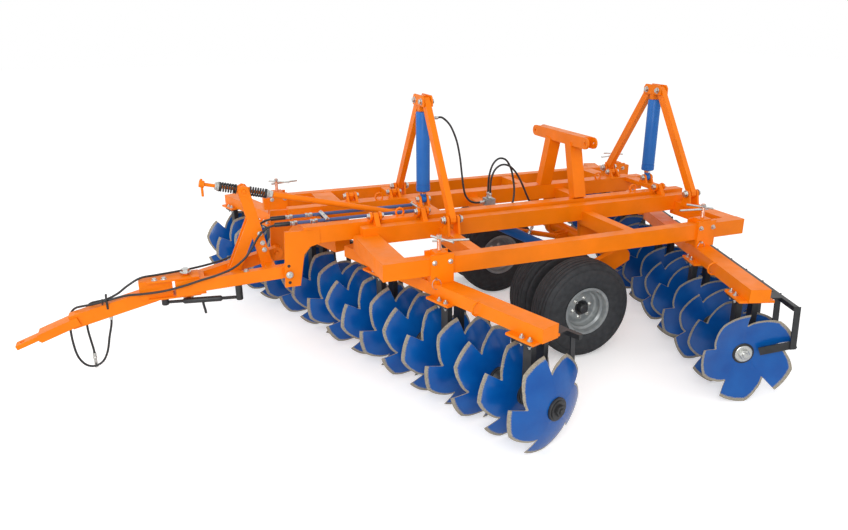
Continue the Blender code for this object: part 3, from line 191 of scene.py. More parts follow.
def relief(tree, shader, place, millimetres, strength, height, normal=None):
    """Bumps about that many millimetres across and that many high, over the given normal if there is one."""
    grain = node(tree, "ShaderNodeTexNoise",
                 {"Vector": place, "Scale": MM_PER_M / millimetres, "Detail": NOISE_DETAIL})
    inputs = {"Height": grain.outputs["Fac"], "Strength": strength, "Distance": height / MM_PER_M}
    if normal is not None:
        inputs["Normal"] = normal
    tree.links.new(node(tree, "ShaderNodeBump", inputs).outputs["Normal"], shader.inputs["Normal"])


def enamel(name, colour, dusty, roughness=0.33):
    """Sprayed enamel on welded steel: glossy, gently uneven from the gun, duller where dust has settled."""
    made, tree, shader, place = start_material(name, roughness, coat=0.03, shine=0.18)
    tree.links.new(tones(tree, place, 260.0, (0.30, colour), (0.75, dusty)), shader.inputs["Base Color"])
    # dust is duller than the enamel, in patches of a hand's breadth
    dust = node(tree, "ShaderNodeTexNoise",
                {"Vector": place, "Scale": MM_PER_M / 90.0, "Detail": NOISE_DETAIL})
    dull = node(tree, "ShaderNodeMapRange", {"Value": dust.outputs["Fac"], "From Min": 0.35, "From Max": 0.7,
                                             "To Min": roughness, "To Max": roughness + 0.16})
    tree.links.new(dull.outputs["Result"], shader.inputs["Roughness"])
    # welded and sawn edges are broken by a 4 mm radius, which the plain solids do not carry
    round_edges = node(tree, "ShaderNodeBevel", {"Radius": 0.004}, samples=4).outputs["Normal"]
    relief(tree, shader, place, 5.0, 0.10, 0.4, round_edges)
    return made


def disc_enamel():
    """Blue enamel on rolled disc steel, with the bevelled rim left bare and tarnished."""
    made, tree, shader, place = start_material("Disc enamel", 0.26, coat=0.12, shine=0.3)
    blue = tones(tree, place, 160.0, (0.3, hex_of(look().blue)), (0.8, "#0a5aa6"))
    edge = node(tree, "ShaderNodeAttribute", attribute_name="edge").outputs["Fac"]
    chips = node(tree, "ShaderNodeTexNoise",
                 {"Vector": place, "Scale": MM_PER_M / 6.0, "Detail": NOISE_DETAIL})
    ragged = node(tree, "ShaderNodeMath", {0: chips.outputs["Fac"], 1: 0.5}, operation="MULTIPLY")
    mask = node(tree, "ShaderNodeMath", {0: edge, 1: ragged.outputs["Value"]}, operation="SUBTRACT")
    bare = node(tree, "ShaderNodeMapRange",
                {"Value": mask.outputs["Value"], "From Min": 0.32, "From Max": 0.48}).outputs["Result"]
    steel = tones(tree, place, 9.0, (0.3, "#7d7568"), (0.7, "#a79f8e"))
    mixed = node(tree, "ShaderNodeMix", {0: bare, 6: blue, 7: steel}, data_type="RGBA")
    tree.links.new(mixed.outputs[2], shader.inputs["Base Color"])
    rough = node(tree, "ShaderNodeMapRange", {"Value": bare, "To Min": 0.24, "To Max": 0.5})
    tree.links.new(rough.outputs["Result"], shader.inputs["Roughness"])
    relief(tree, shader, place, 30.0, 0.12, 1.0)
    return made


# Finishes in two tones: roughness, metallic, size of the patches in millimetres, the tones, and the relief's
# size in millimetres, strength and height in millimetres
TWO_TONE = {
    # satin black enamel on forged hangers and scrapers, greyed by handling
    "Black satin enamel": (0.45, 0.0, 70.0, (0.3, "#17181a"), (0.75, "#2b2c2e"), (4.0, 0.2, 0.5)),
    # carbon-black rubber, moulded and dull, greyed by road dust in random patches
    "Tyre rubber": (0.72, 0.0, 45.0, (0.3, "#222427"), (0.8, "#35373a"), (2.5, 0.25, 0.5)),
    # silver-grey wheel enamel, semi-gloss, with grime in random patches
    "Wheel enamel": (0.38, 0.25, 60.0, (0.3, "#83888a"), (0.8, "#a3a7a6"), None),
    # bright zinc plating on bolts, nuts, pins and rods, with a faint spangle
    "Zinc plate": (0.30, 1.0, 8.0, (0.3, "#b4b5b1"), (0.75, "#dadbd8"), None),
    # hard chrome on a ground cylinder rod, bright and nearly smooth
    "Hard chrome": (0.10, 1.0, 20.0, (0.2, "#cfd1d2"), (0.9, "#e4e5e5"), None),
    # braided hydraulic hose with a smooth cover, slightly shiny from oil
    "Hose cover": (0.42, 0.0, 30.0, (0.3, "#141517"), (0.8, "#26282a"), (1.5, 0.2, 0.2)),
}


def two_tone(name):
    """A finish from that table."""
    roughness, metallic, millimetres, dark, light, grain = TWO_TONE[name]
    made, tree, shader, place = start_material(name, roughness, metallic)
    tree.links.new(tones(tree, place, millimetres, dark, light), shader.inputs["Base Color"])
    if grain:
        relief(tree, shader, place, *grain)
    return made


def finish(name):
    """The finish of that name, made on first use."""
    if name in bpy.data.materials:
        return bpy.data.materials[name]
    enamels = {"Orange enamel": (hex_of(look().paint), "#e37400"),
               "Blue enamel": ("#2261ae", "#2f70bc", 0.28),
               "Pipe enamel": ("#4a5f8c", "#5d7099", 0.35)}
    if name in enamels:
        return enamel(name, *enamels[name])
    return disc_enamel() if name == "Disc enamel" else two_tone(name)


# Surfaces

def grid_faces(rows, columns, wrap_rows=False, wrap_columns=False):
    """Quads over a grid of points numbered row by row; a wrapped direction closes on itself."""
    last_row, last_column = rows - (not wrap_rows), columns - (not wrap_columns)
    i, j = np.meshgrid(np.arange(last_row), np.arange(last_column), indexing="ij")
    k, m = (i + 1) % rows, (j + 1) % columns
    quads = np.stack([i * columns + j, k * columns + j, k * columns + m, i * columns + m], axis=-1)
    return quads.reshape(-1, 4)


def apply(matrix, points):
    """Points of any array shape carried by a 4x4 matrix."""
    m = np.array(matrix)
    return points @ m[:3, :3].T + m[:3, 3]


def turned(profile, sides, matrix):
    """Profile of (radius, height) turned about the matrix's Z: x = r cos a, y = r sin a, z = h."""
    r, h = np.array(profile, dtype=float).T
    a = np.linspace(0, 2 * np.pi, sides, endpoint=False)
    points = np.stack([np.outer(np.cos(a), r), np.outer(np.sin(a), r), np.outer(np.ones(sides), h)], axis=-1)
    return apply(matrix, points).reshape(-1, 3), grid_faces(sides, len(r), wrap_rows=True)


def cap(tip, root, radius, sides, matrix, cut):
    """A turned solid from root to tip, whose edge at the tip is cut back by (radius, height)."""
    shoulder = tip - math.copysign(cut[1], tip - root)
    profile = [(0, tip), (radius - cut[0], tip), (radius, shoulder), (radius, root), (0, root)]
    return turned(profile, sides, matrix)


def drum(low, high, radius, sides, matrix, cut=(0.002, 0.003), bore=0.0):
    """A turned solid between two heights, bored if bore is given; cut is (radius, height) off both edges."""
    profile = [(bore, low), (radius - cut[0], low), (radius, low + cut[1]), (radius, high - cut[1]),
               (radius - cut[0], high), (bore, high)]
    return turned(profile + profile[:1] if bore else profile, sides, matrix)


def tube(path, radius, sides=10, closed=False):
    """A round section along a path: at each point, radius (cos a, sin a) in the plane square to the path."""
    path = np.array(path, dtype=float)
    way = np.roll(path, -1, 0) - np.roll(path, 1, 0) if closed else np.gradient(path, axis=0)
    way /= np.linalg.norm(way, axis=1, keepdims=True)
    guide = np.eye(3)[int(np.argmin(np.abs(way).max(axis=0)))]
    u = np.cross(way, guide)
    u /= np.linalg.norm(u, axis=1, keepdims=True)
    v = np.cross(way, u)
    a = np.linspace(0, 2 * np.pi, sides, endpoint=False)
    ring = np.cos(a)[None, :, None] * u[:, None, :] + np.sin(a)[None, :, None] * v[:, None, :]
    points = path[:, None, :] + radius * ring
    faces = grid_faces(len(path), sides, wrap_rows=closed, wrap_columns=True)
    points = points.reshape(-1, 3)
    if closed:
        return points, faces
    ends = len(points)
    points = np.vstack([points, path[0], path[-1]])
    k = np.arange(sides)
    start = np.stack([np.full(sides, ends), k, (k + 1) % sides, (k + 1) % sides], axis=1)
    base = (len(path) - 1) * sides
    stop = np.stack([np.full(sides, ends + 1), base + (k + 1) % sides, base + k, base + k], axis=1)
    return points, np.vstack([faces, start, stop])


SQUARE = ((0, 0), (1, 0), (1, 1), (0, 1))


def block(low, high, edge=0.003, matrix=Matrix.Identity(4)):
    """A box with chamfered edges: each corner is three points, each drawn in from one face's plane."""
    low, high = np.array(low, float), np.array(high, float)
    signs = np.array([(x, y, z) for x in (0, 1) for y in (0, 1) for z in (0, 1)])
    corners = low + signs * (high - low)
    inward = (1 - 2 * signs) * edge
    points = (corners[:, None, :] + inward[:, None, :] * (1 - np.eye(3))[None]).reshape(-1, 3)
    faces = []
    for axis in range(3):
        b, c = (axis + 1) % 3, (axis + 2) % 3
        for sign in (0, 1):
            loop = [3 * box_corner(axis, sign, t, s) + axis for t, s in SQUARE]
            faces.append(loop if sign else loop[::-1])
        for t, s in SQUARE:
            low_end, high_end = (3 * box_corner(axis, sign, t, s) for sign in (0, 1))
            loop = [low_end + b, high_end + b, high_end + c, low_end + c]
            faces.append(loop if t != s else loop[::-1])
    for number, (x, y, z) in enumerate(signs):
        loop = [3 * number, 3 * number + 1, 3 * number + 2]
        loop = loop if (x + y + z) % 2 else loop[::-1]
        faces.append(loop + [loop[-1]])
    return apply(matrix, points), np.array(faces)


def box_corner(axis, sign, t, s):
    """Number of a box's corner, from its place on one axis and on the two that follow."""
    corner = [0, 0, 0]
    corner[axis], corner[(axis + 1) % 3], corner[(axis + 2) % 3] = sign, t, s
    return corner[0] * 4 + corner[1] * 2 + corner[2]


def along(start, end, up=(0, 0, 1)):
    """A frame at start whose Z runs to end and whose X lies nearest to up."""
    z = (Vector(end) - Vector(start)).normalized()
    up = Vector(up) if abs(z.dot(Vector(up).normalized())) < 0.99 else Vector((1, 0, 0))
    y = z.cross(up).normalized()
    x = y.cross(z)
    return Matrix.Translation(Vector(start)) @ Matrix((x, y, z)).transposed().to_4x4()


def threaded(root, threads, low, high):
    """Profile of a screw: radius root at every other height in threads, and 1.5 mm more between."""
    return [(0, low)] + [(root + 0.0015 * (k % 2), z) for k, z in enumerate(threads)] + [(0, high)]


def crosswise(middle, half):
    """A frame whose Z runs to the machine's left, from that far to the right of middle."""
    return along(middle - (0, half, 0), middle)


def hex_bolt(place, axis, radius, shank=0.0):
    """A hexagon head on its washer, standing along axis at place; radius is across corners."""
    matrix = along(place, Vector(place) + Vector(axis), (0.3, 0.5, 1))
    height, seat = 0.75 * radius, 0.22 * radius
    top = seat + height
    parts = [cap(top, seat - 0.0005, radius, 6, matrix, (0.18 * radius, 0.15 * height)),
             cap(seat, -0.001, 1.3 * radius, 18, matrix, (0.08 * radius, 0.3 * seat))]
    if shank:
        parts.append(cap(top + shank, top - 0.002, 0.5 * radius, 12, matrix, (0.08 * radius, 0.003)))
    return parts


def tidy_mesh(mesh, angle):
    """Merge the points that meet at poles, turn every face outwards and keep edges over the angle sharp."""
    work = bmesh.new()
    work.from_mesh(mesh)
    bmesh.ops.remove_doubles(work, verts=work.verts, dist=0.000005)
    bmesh.ops.dissolve_degenerate(work, edges=work.edges, dist=0.000005)
    bmesh.ops.recalc_face_normals(work, faces=work.faces)
    work.to_mesh(mesh)
    work.free()
    mesh.shade_smooth()
    mesh.set_sharp_from_angle(angle=math.radians(angle))


def piece(name, parts, finish_name, body, replaces=(), angle=32, edge=None):
    """One object from (points, faces) parts given in the machine's frame, riding on a body."""
    sizes = np.cumsum([0] + [len(points) for points, _ in parts])
    points = np.vstack([p for p, _ in parts]) + SHIFT
    faces = np.vstack([f + start for (_, f), start in zip(parts, sizes)])
    mesh = bpy.data.meshes.new(name)
    triangle = faces[:, 2] == faces[:, 3]
    mesh.from_pydata(points.tolist(), [], [f[:3] if t else f for f, t in zip(faces.tolist(), triangle)])
    if edge is not None:
        mesh.attributes.new("edge", "FLOAT", "POINT").data.foreach_set("value", edge.astype(np.float32))
    made = bpy.data.objects.new(name, mesh)
    bpy.context.scene.collection.objects.link(made)
    tidy_mesh(mesh, angle)
    mesh.materials.append(finish(finish_name))
    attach(made, body)
    if replaces:
        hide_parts(*replaces)
    return made


# Gangs

def gang_frame(row):
    """X to the rear across the row, Y up, Z along the row's axis to the left; origin on the centreline."""
    z = Vector((-BULGE[row] * math.sin(GANG_ANGLE), math.cos(GANG_ANGLE), 0))
    y = Vector((0, 0, 1))
    x = y.cross(z)
    return Matrix.Translation((ROW_X[row], 0, DISC_R)) @ Matrix((x, y, z)).transposed().to_4x4()


def disc_places(side):
    return sorted(side * (k + 0.5) * DISC_PITCH for k in range(DISCS))


def dish(r):
    """Height of a ball's cap over the plane of its rim: sqrt(B^2 - r^2) - sqrt(B^2 - R^2)."""
    ball = (DISC_R ** 2 + DISC_DISH ** 2) / (2 * DISC_DISH)
    return np.sqrt(ball ** 2 - r ** 2) - math.sqrt(ball ** 2 - DISC_R ** 2)


def disc_outline(steps):
    """(angle, radius) round one disc: per notch a rim arc, a long curved flank and a short hooked one."""
    pitch = 2 * math.pi / NOTCHES
    corners = np.radians([0, 33, 52, 69.6, 71.1])
    share = np.array([1.0, 1.0, 0.845, 0.70, 0.715])
    angles, radii = [], []
    for k in range(len(corners)):
        a0, a1 = corners[k], corners[k + 1] if k + 1 < len(corners) else pitch
        r0, r1 = share[k], share[(k + 1) % len(corners)]
        count = steps if k + 1 < len(corners) else 3
        t = np.arange(count) / count
        angles.append(a0 + (a1 - a0) * t)
        bulge = FLANK_BULGE if k in (1, 2) else 0.0
        radii.append(r0 + (r1 - r0) * t + bulge * np.sin(np.pi * t))
    angles, radii = np.concatenate(angles), np.concatenate(radii)
    turn = np.arange(NOTCHES)[:, None] * pitch
    return (angles[None] + turn).ravel(), np.tile(radii, NOTCHES) * DISC_R


def disc_part(twist, bulge, place, matrix, steps, band):
    """One disc: x = r cos a, y = r sin a, z = place + bulge dish(r) +- T/2, r from the hub to the outline."""
    a, rim = disc_outline(steps)
    t = np.array([0.0, 0.2, 0.4, 0.58, 0.74, 0.87, 1.0])
    inner = rim - band
    r = np.vstack([HUB_R + (inner - HUB_R) * t[:, None], rim[None, :]])
    away = np.full(r.shape, DISC_T / 2)
    away[-1] = DISC_T * EDGE_SHARE
    front = np.stack([r * np.cos(a + twist), r * np.sin(a + twist), place + bulge * dish(r) + away], axis=-1)
    back = front.copy()
    back[..., 2] = place + bulge * dish(r) - away
    both = np.concatenate([front, back[::-1]])
    points = apply(matrix, both.reshape(-1, 3))
    mark = np.zeros(r.shape)
    mark[-2:] = 1.0
    mark[-3] = 0.12
    edge = np.concatenate([mark, mark[::-1]]).ravel()
    return (points, grid_faces(len(both), len(a), wrap_rows=True, wrap_columns=True)), edge


def shaft_parts(row, side):
    """The square-shouldered spools between the discs with their cast flanges, and where the hubs lie."""
    matrix, parts, plate = gang_frame(row), [], DISC_T / 2
    hubs = [s + BULGE[row] * DISC_DISH for s in disc_places(side)]
    for hub in hubs:
        for way in (1, -1):
            tip, root = hub + way * (plate + FLANGE_T), hub + way * (plate - 0.004)
            parts.append(cap(tip, root, FLANGE_R, 24, matrix, (0.004, 0.004)))
    for k, (hub, following) in enumerate(zip(hubs, hubs[1:])):
        low, high = hub + plate + 0.010, following - plate - 0.010
        waist = 0.05 if k in HANGER_GAPS[side] else 0.052
        spool = [(0, high), (SPOOL_R, high), (0.060, high - 0.018), (waist, high - 0.035),
                 (waist, low + 0.035), (0.060, low + 0.018), (SPOOL_R, low), (0, low)]
        parts.append(turned(spool, 20, matrix))
    return parts, hubs


# Hoses

def unit(vector):
    return np.array(vector) / np.linalg.norm(vector)


LIFT_WAY = unit(LIFT_PIN - LIFT_PIVOT)
LEVELLING_WAY = unit(TRUNNION - LEVER_EYE)


def lift_port(reach, height):
    """A point that far along the lift barrel from its pivot and that far above the barrel's axis."""
    return LIFT_PIVOT + LIFT_WAY * reach + np.array((LIFT_WAY[2], 0, -LIFT_WAY[0])) * height


def guided(x, side):
    """A drawbar hose's place in its guide, on a circle about the hinge: z = hz + sqrt(R^2 - (x - hx)^2)."""
    radius = PIPE_Z - DRAW_HINGE[2]
    return (x, side * PIPE_Y, DRAW_HINGE[2] + math.sqrt(radius ** 2 - (x - DRAW_HINGE[0]) ** 2))


def drawbar_route(side):
    """Route of a hose from its pipe's guide beside the A-frame, along the draw tube and down in a loop."""
    start = [guided(x, side) for x in (2.585, 2.61, 2.635, 2.66, 2.69)]
    if side == LEFT:
        return [*start, (2.735, 0.104, 1.110), (2.785, 0.118, 1.060), (2.835, 0.136, 0.990),
                (2.90, 0.150, 0.915), (3.00, 0.166, 0.850), (3.12, 0.172, 0.812), (3.25, 0.152, 0.778),
                (3.40, 0.132, 0.738), (3.55, 0.116, 0.712), (3.70, 0.088, 0.700), (3.82, 0.052, 0.692),
                (3.95, 0.038, 0.668), (4.06, 0.025, 0.645), (4.14, -0.005, 0.630), (4.205, -0.055, 0.602),
                (4.248, -0.092, 0.545), (4.270, -0.102, 0.44), (4.270, -0.102, 0.29), (4.252, -0.102, 0.165),
                (4.205, -0.102, 0.085), (4.140, -0.102, 0.062), (4.075, -0.102, 0.095), (4.030, -0.102, 0.18),
                (4.000, -0.100, 0.30), (3.975, -0.096, 0.39), PARKED_COUPLER - (0, 0, 0.06),
                PARKED_COUPLER - (0, 0, FIT)]
    return [*start, (2.735, -0.103, 1.110), (2.785, -0.115, 1.060), (2.835, -0.130, 0.990),
            (2.90, -0.140, 0.912), (3.00, -0.135, 0.848), (3.12, -0.112, 0.824), (3.26, -0.075, 0.814),
            (3.42, -0.045, 0.809), (3.58, -0.018, 0.808), (3.70, 0.0, 0.805), (3.80, 0.006, 0.757),
            (3.88, 0.006, 0.702), (3.97, 0.0, 0.662), (4.035, -0.02, 0.648), (4.09, -0.06, 0.625),
            (4.128, -0.105, 0.575), (4.148, -0.130, 0.49), (4.152, -0.135, 0.38), (4.143, -0.135, 0.27),
            HANGING_COUPLER + (0, 0, 0.08), HANGING_COUPLER + (0, 0, FIT)]


def mast_route():
    """Route of the tall arc from the front fold cylinder's port to the front of the block."""
    port = (MAST_X["front"] - BARREL_R - PORT_REACH - FIT, 0, PORT_Z)
    return [port, (1.165, 0, PORT_Z), (1.125, 0, PORT_Z), (1.075, 0.014, 1.888), (1.04, 0.03, 1.83),
            (1.00, 0.045, 1.72), (0.975, 0.06, 1.58), (0.962, 0.075, 1.44), (0.952, 0.09, 1.33),
            (0.935, 0.097, 1.25), (0.895, 0.10, 1.195), (0.84, 0.10, 1.171), (0.79, 0.10, 1.168),
            (BLOCK_FRONT + FIT, 0.10, 1.168)]


def loop_route(number):
    """Route of a loop that rises from the block, straight above the lift pivot, to a lift cylinder's port."""
    reach = LIFT_BARREL_R + PORT_REACH + FIT
    ends = [lift_port(LIFT_PORTS[number], reach + more) for more in (0.09, 0.05, 0.0)]
    x, top = LIFT_PIVOT[0], BLOCK_TOP + FIT
    front = [(x, 0.078, top), (x, 0.078, 1.26), (x, 0.078, 1.32), (0.692, 0.082, 1.42), (0.662, 0.090, 1.51),
             (0.605, 0.092, 1.553), (0.540, 0.098, 1.535), (0.494, 0.106, 1.46), (0.472, 0.120, 1.36),
             (0.467, 0.138, 1.26), (0.482, 0.152, 1.17)]
    rear = [(x, 0.122, top), (x, 0.122, 1.26), (x, 0.122, 1.32), (0.690, 0.123, 1.40), (0.655, 0.125, 1.468),
            (0.595, 0.130, 1.502), (0.525, 0.136, 1.487), (0.460, 0.142, 1.425), (0.405, 0.147, 1.335),
            (0.352, 0.151, 1.225), (0.303, 0.155, 1.125), (0.265, 0.158, 1.045), (0.250, 0.160, 0.990)]
    return (front, rear)[number] + ends


def smooth(route, step):
    """Catmull-Rom curve (2b + (c-a)t + (2a-5b+4c-d)t^2 + (3b-a-3c+d)t^3)/2, read off at even steps."""
    points = np.array([np.array(point, float) for point in route])
    ends = np.vstack([2 * points[0] - points[1], points, 2 * points[-1] - points[-2]])
    a, b, c, d = (ends[k:len(ends) - 3 + k, None, :] for k in range(4))
    t = (np.arange(ROUTE_STEPS) / ROUTE_STEPS)[None, :, None]
    fine = (2 * b + (c - a) * t + (2 * a - 5 * b + 4 * c - d) * t ** 2 + (3 * b - a - 3 * c + d) * t ** 3) / 2
    fine = np.vstack([fine.reshape(-1, 3), points[-1]])
    travelled = np.concatenate([[0], np.cumsum(np.linalg.norm(np.diff(fine, axis=0), axis=1))])
    even = np.linspace(0, travelled[-1], round(travelled[-1] / step) + 1)
    return np.stack([np.interp(even, travelled, fine[:, k]) for k in range(3)], axis=1)


def ferrule(point, way):
    """The crimped sleeve and hexagon nut on a hose's end; way points along the hose, away from its end."""
    matrix = along(point, Vector(point) + Vector(way))
    sleeve = [(0, 0.052), (0.0135, 0.052), (0.0145, 0.048), (0.0145, 0.030), (0.0125, 0.028), (0.0125, 0.022),
              (0.0110, 0.020), (0.0110, 0.002), (0, 0.002)]
    nut = [(0, 0.019), (0.0145, 0.019), (0.0165, 0.016), (0.0165, 0.003), (0.0145, 0.0005), (0, 0.0005)]
    return [turned(sleeve, 20, matrix), turned(nut, 6, matrix)]


# Operators

class HoseOperator(bpy.types.Operator):
    """Make the hydraulic hoses on the routes of their solids, with the crimped sleeves at their ends."""
    bl_idname = "harrow.hoses"
    bl_label = "Hoses"

    def execute(self, context):
        couplers = {side: frame["nodes"][f"coupler_{word}"] for side, word in SIDE.items()}
        for side in (LEFT, RIGHT):
            self.hose(f"drawbar_{SIDE[side]}", drawbar_route(side), "drawbar_body", "plug", "hanging",
                      [couplers[side]])
        self.hose("frame_arc", mast_route(), "frame", "object", "loose")
        self.hose("lift_front", loop_route(0), "lift_barrel", "object", "loose")
        self.hose("lift_rear", loop_route(1), "lift_barrel", "object", "loose")
        return {"FINISHED"}

    def hose(self, name, route, body, far_end, lay, on_it=()):
        """One hose; a drawbar hose's first end slides in its guide, so it carries no sleeve there."""
        diameter = look().hose
        path = smooth(route, HOSE_STEP)
        first = [] if on_it else ferrule(path[0], path[1] - path[0])
        made = piece(f"hose_{name}_cover", [tube(path, diameter / 2, 14)], "Hose cover", body,
                     (f"hose_{name}",), 60)
        ends = piece(f"hose_{name}_ends", first + ferrule(path[-1], path[-2] - path[-1]), "Zinc plate", body)


def port(foot, tip, collar_r, collar_top):
    """A hose's port on a barrel: a collar on the wall and the fitting that stands on it."""
    end = PORT_REACH + 0.006
    profile = [(0, end), (PORT_R, end), (PORT_R, collar_top + 0.002), (collar_r, collar_top), (collar_r, 0),
               (0, 0)]
    return turned(profile, 20, along(foot, tip))


class CylinderOperator(bpy.types.Operator):
    """Make the fold and lift cylinders with their glands, ports and rods."""
    bl_idname = "harrow.cylinders"
    bl_label = "Cylinders"

    def execute(self, context):
        for row, x in MAST_X.items():
            self.fold_cylinder(row, x)
        self.lift_cylinder()
        return {"FINISHED"}

    def fold_cylinder(self, row, x):
        stand = Matrix.Translation((x, 0, 0))
        low, high, r, inner = BARREL_LOW, BARREL_HIGH, BARREL_R, BARREL_BORE
        barrel = [(0, high), (r - 0.012, high), (r - 0.003, high - 0.004), (r, high - 0.012),
                  (r, low + 0.062), (r - 0.003, low + 0.060), (r - 0.003, low + 0.055),
                  (r + 0.0015, low + 0.053), (r + 0.0015, low + 0.006), (r - 0.003, low), (ROD_R + FIT, low),
                  (ROD_R + FIT, low + 0.04), (inner, low + 0.045), (inner, high - 0.03), (0, high - 0.03)]
        head = f"mast_head_{row}"
        piece(f"fold_barrel_{row}", [turned(barrel, 48, stand)], "Blue enamel", head,
              (f"fold_cylinder_{row}",))
        foot, tip = Vector((x - r + 0.006, 0, PORT_Z)), Vector((x - r - PORT_REACH, 0, PORT_Z))
        piece(f"fold_port_{row}", [port(foot, tip, 0.019, 0.010)], "Zinc plate", head)
        rod_top = high - 0.06
        rod = [(0, rod_top), (inner - 0.004, rod_top), (inner - 0.004, rod_top - 0.05),
               (ROD_R, rod_top - 0.052), (ROD_R, ROD_EYE_Z + 0.05), (0, ROD_EYE_Z + 0.05)]
        piece(f"fold_ram_{row}", [turned(rod, 40, stand)], "Hard chrome", "frame",
              (f"fold_rod_{row}",))
        eye = along(Vector((x - 0.02, 0, ROD_EYE_Z)), Vector((x, 0, ROD_EYE_Z)))
        neck = [(0, 0.052), (ROD_R - 0.004, 0.052), (ROD_R, 0.048), (ROD_R - 0.006, 0.024), (0, 0.024)]
        parts = [drum(0, 0.04, 0.033, 32, eye, bore=0.017),
                 turned(neck, 32, Matrix.Translation((x, 0, ROD_EYE_Z)))]
        piece(f"fold_eye_{row}", parts, "Blue enamel", "frame")

    def lift_cylinder(self):
        matrix = along(LIFT_PIVOT, LIFT_PIVOT + LIFT_WAY)
        r, bore = LIFT_BARREL_R, LIFT_ROD_R + FIT
        barrel = [(0.022, 0.05), (r - 0.004, 0.052), (r, 0.058), (r, 0.530), (r - 0.003, 0.533),
                  (r - 0.003, 0.538), (r + 0.002, 0.540), (r + 0.002, 0.592), (r - 0.004, 0.600),
                  (bore, 0.600), (bore, 0.16), (0, 0.16), (0, 0.0), (0.022, 0.0), (0.022, 0.05)]
        knuckle = drum(0, 0.04, 0.032, 28, crosswise(LIFT_PIVOT, 0.02), bore=0.017)
        piece("lift_barrel_smooth", [turned(barrel, 40, matrix), knuckle], "Blue enamel", "lift_barrel",
              ("lift_cylinder",))
        ports = [port(lift_port(reach, r - 0.006), lift_port(reach, r + PORT_REACH), 0.018, 0.012)
                 for reach in LIFT_PORTS]
        piece("lift_barrel_ports", ports, "Zinc plate", "lift_barrel")
        length = float(np.linalg.norm(LIFT_PIN - LIFT_PIVOT))
        ram = [(0, 0.30), (LIFT_ROD_R, 0.30), (LIFT_ROD_R, length - 0.02), (0, length - 0.02)]
        piece("lift_ram_chrome", [turned(ram, 28, matrix)], "Hard chrome", "lift_ram", ("lift_rod",))
        clevis = drum(0, 0.04, 0.030, 28, crosswise(LIFT_PIN, 0.02))
        piece("lift_ram_eye", [clevis], "Blue enamel", "lift_ram")


class LevellingOperator(bpy.types.Operator):
    """Make the levelling rod with its springs, nuts, trunnion and crank handle."""
    bl_idname = "harrow.levelling"
    bl_label = "Levelling rod"

    def execute(self, context):
        matrix = along(TRUNNION, TRUNNION + LEVELLING_WAY)
        back = -float(np.linalg.norm(TRUNNION - LEVER_EYE))
        slight, bore = (0.001, 0.002), 0.0142
        rod = [(0, 0.33), (0.014, 0.328), (0.014, -0.24), (0.0235, -0.242), (0.0245, -0.250),
               (0.0245, back + 0.035), (0, back + 0.035)]
        cross = TRUNNION + LEVELLING_WAY * 0.32
        parts = [turned(rod, 28, matrix),
                 drum(0, 0.025, 0.030, 28, crosswise(LEVER_EYE, 0.0125), slight),
                 block((-0.012, -0.0115, back + 0.01), (0.012, 0.0115, back + 0.06), 0.002, matrix),
                 drum(0, 0.06, 0.035, 32, crosswise(TRUNNION, 0.03)),
                 drum(0, 0.13, 0.016, 24, crosswise(TRUNNION, 0.065), slight),
                 drum(-0.05, 0.05, 0.032, 28, matrix, slight),
                 drum(0.30, 0.34, 0.028, 24, matrix),
                 tube([cross + (0, 0, rise) for rise in (0.04, 0.0, -0.05, -0.10)], 0.010, 16)]
        piece("levelling_rod_smooth", parts, "Orange enamel", "levelling", ("levelling_rod",))
        rings = [drum(low, high, r, 28, matrix, (0.001, 0.001), bore) for low, high, r in (
            (0.19, 0.196, 0.040), (0.198, 0.206, 0.036), (0.2075, 0.22, 0.030), (-0.196, -0.19, 0.040),
            (-0.206, -0.198, 0.034))]
        rings.append(drum(-0.24, -0.207, 0.031, 6, matrix, (0.003, 0.004), bore))
        piece("levelling_washers", rings, "Zinc plate", "levelling")
        for word, sign in (("front", 1), ("rear", -1)):
            self.spring(word, sign, matrix)
        return {"FINISHED"}

    def spring(self, word, sign, matrix):
        """Coil on the rod: x = r cos a, y = r sin a, z from seat to seat, with its end turns closed up."""
        turns, wire, radius = 8, 0.0065, 0.0335
        low, high = 0.05 + wire, 0.19 - wire
        t = np.linspace(0, 1, turns * 20 + 1)
        # the first and last turn lie flat on their seats
        rise = np.clip((t * turns - 0.8) / (turns - 1.6), 0, 1)
        angle = 2 * np.pi * turns * t
        height = sign * (low + (high - low) * rise)
        path = apply(matrix, np.stack([radius * np.cos(angle), radius * np.sin(angle), height], axis=-1))
        piece(f"levelling_coil_{word}", [tube(path, wire, 10)], "Black satin enamel", "levelling",
              (f"levelling_spring_{word}",), 60)


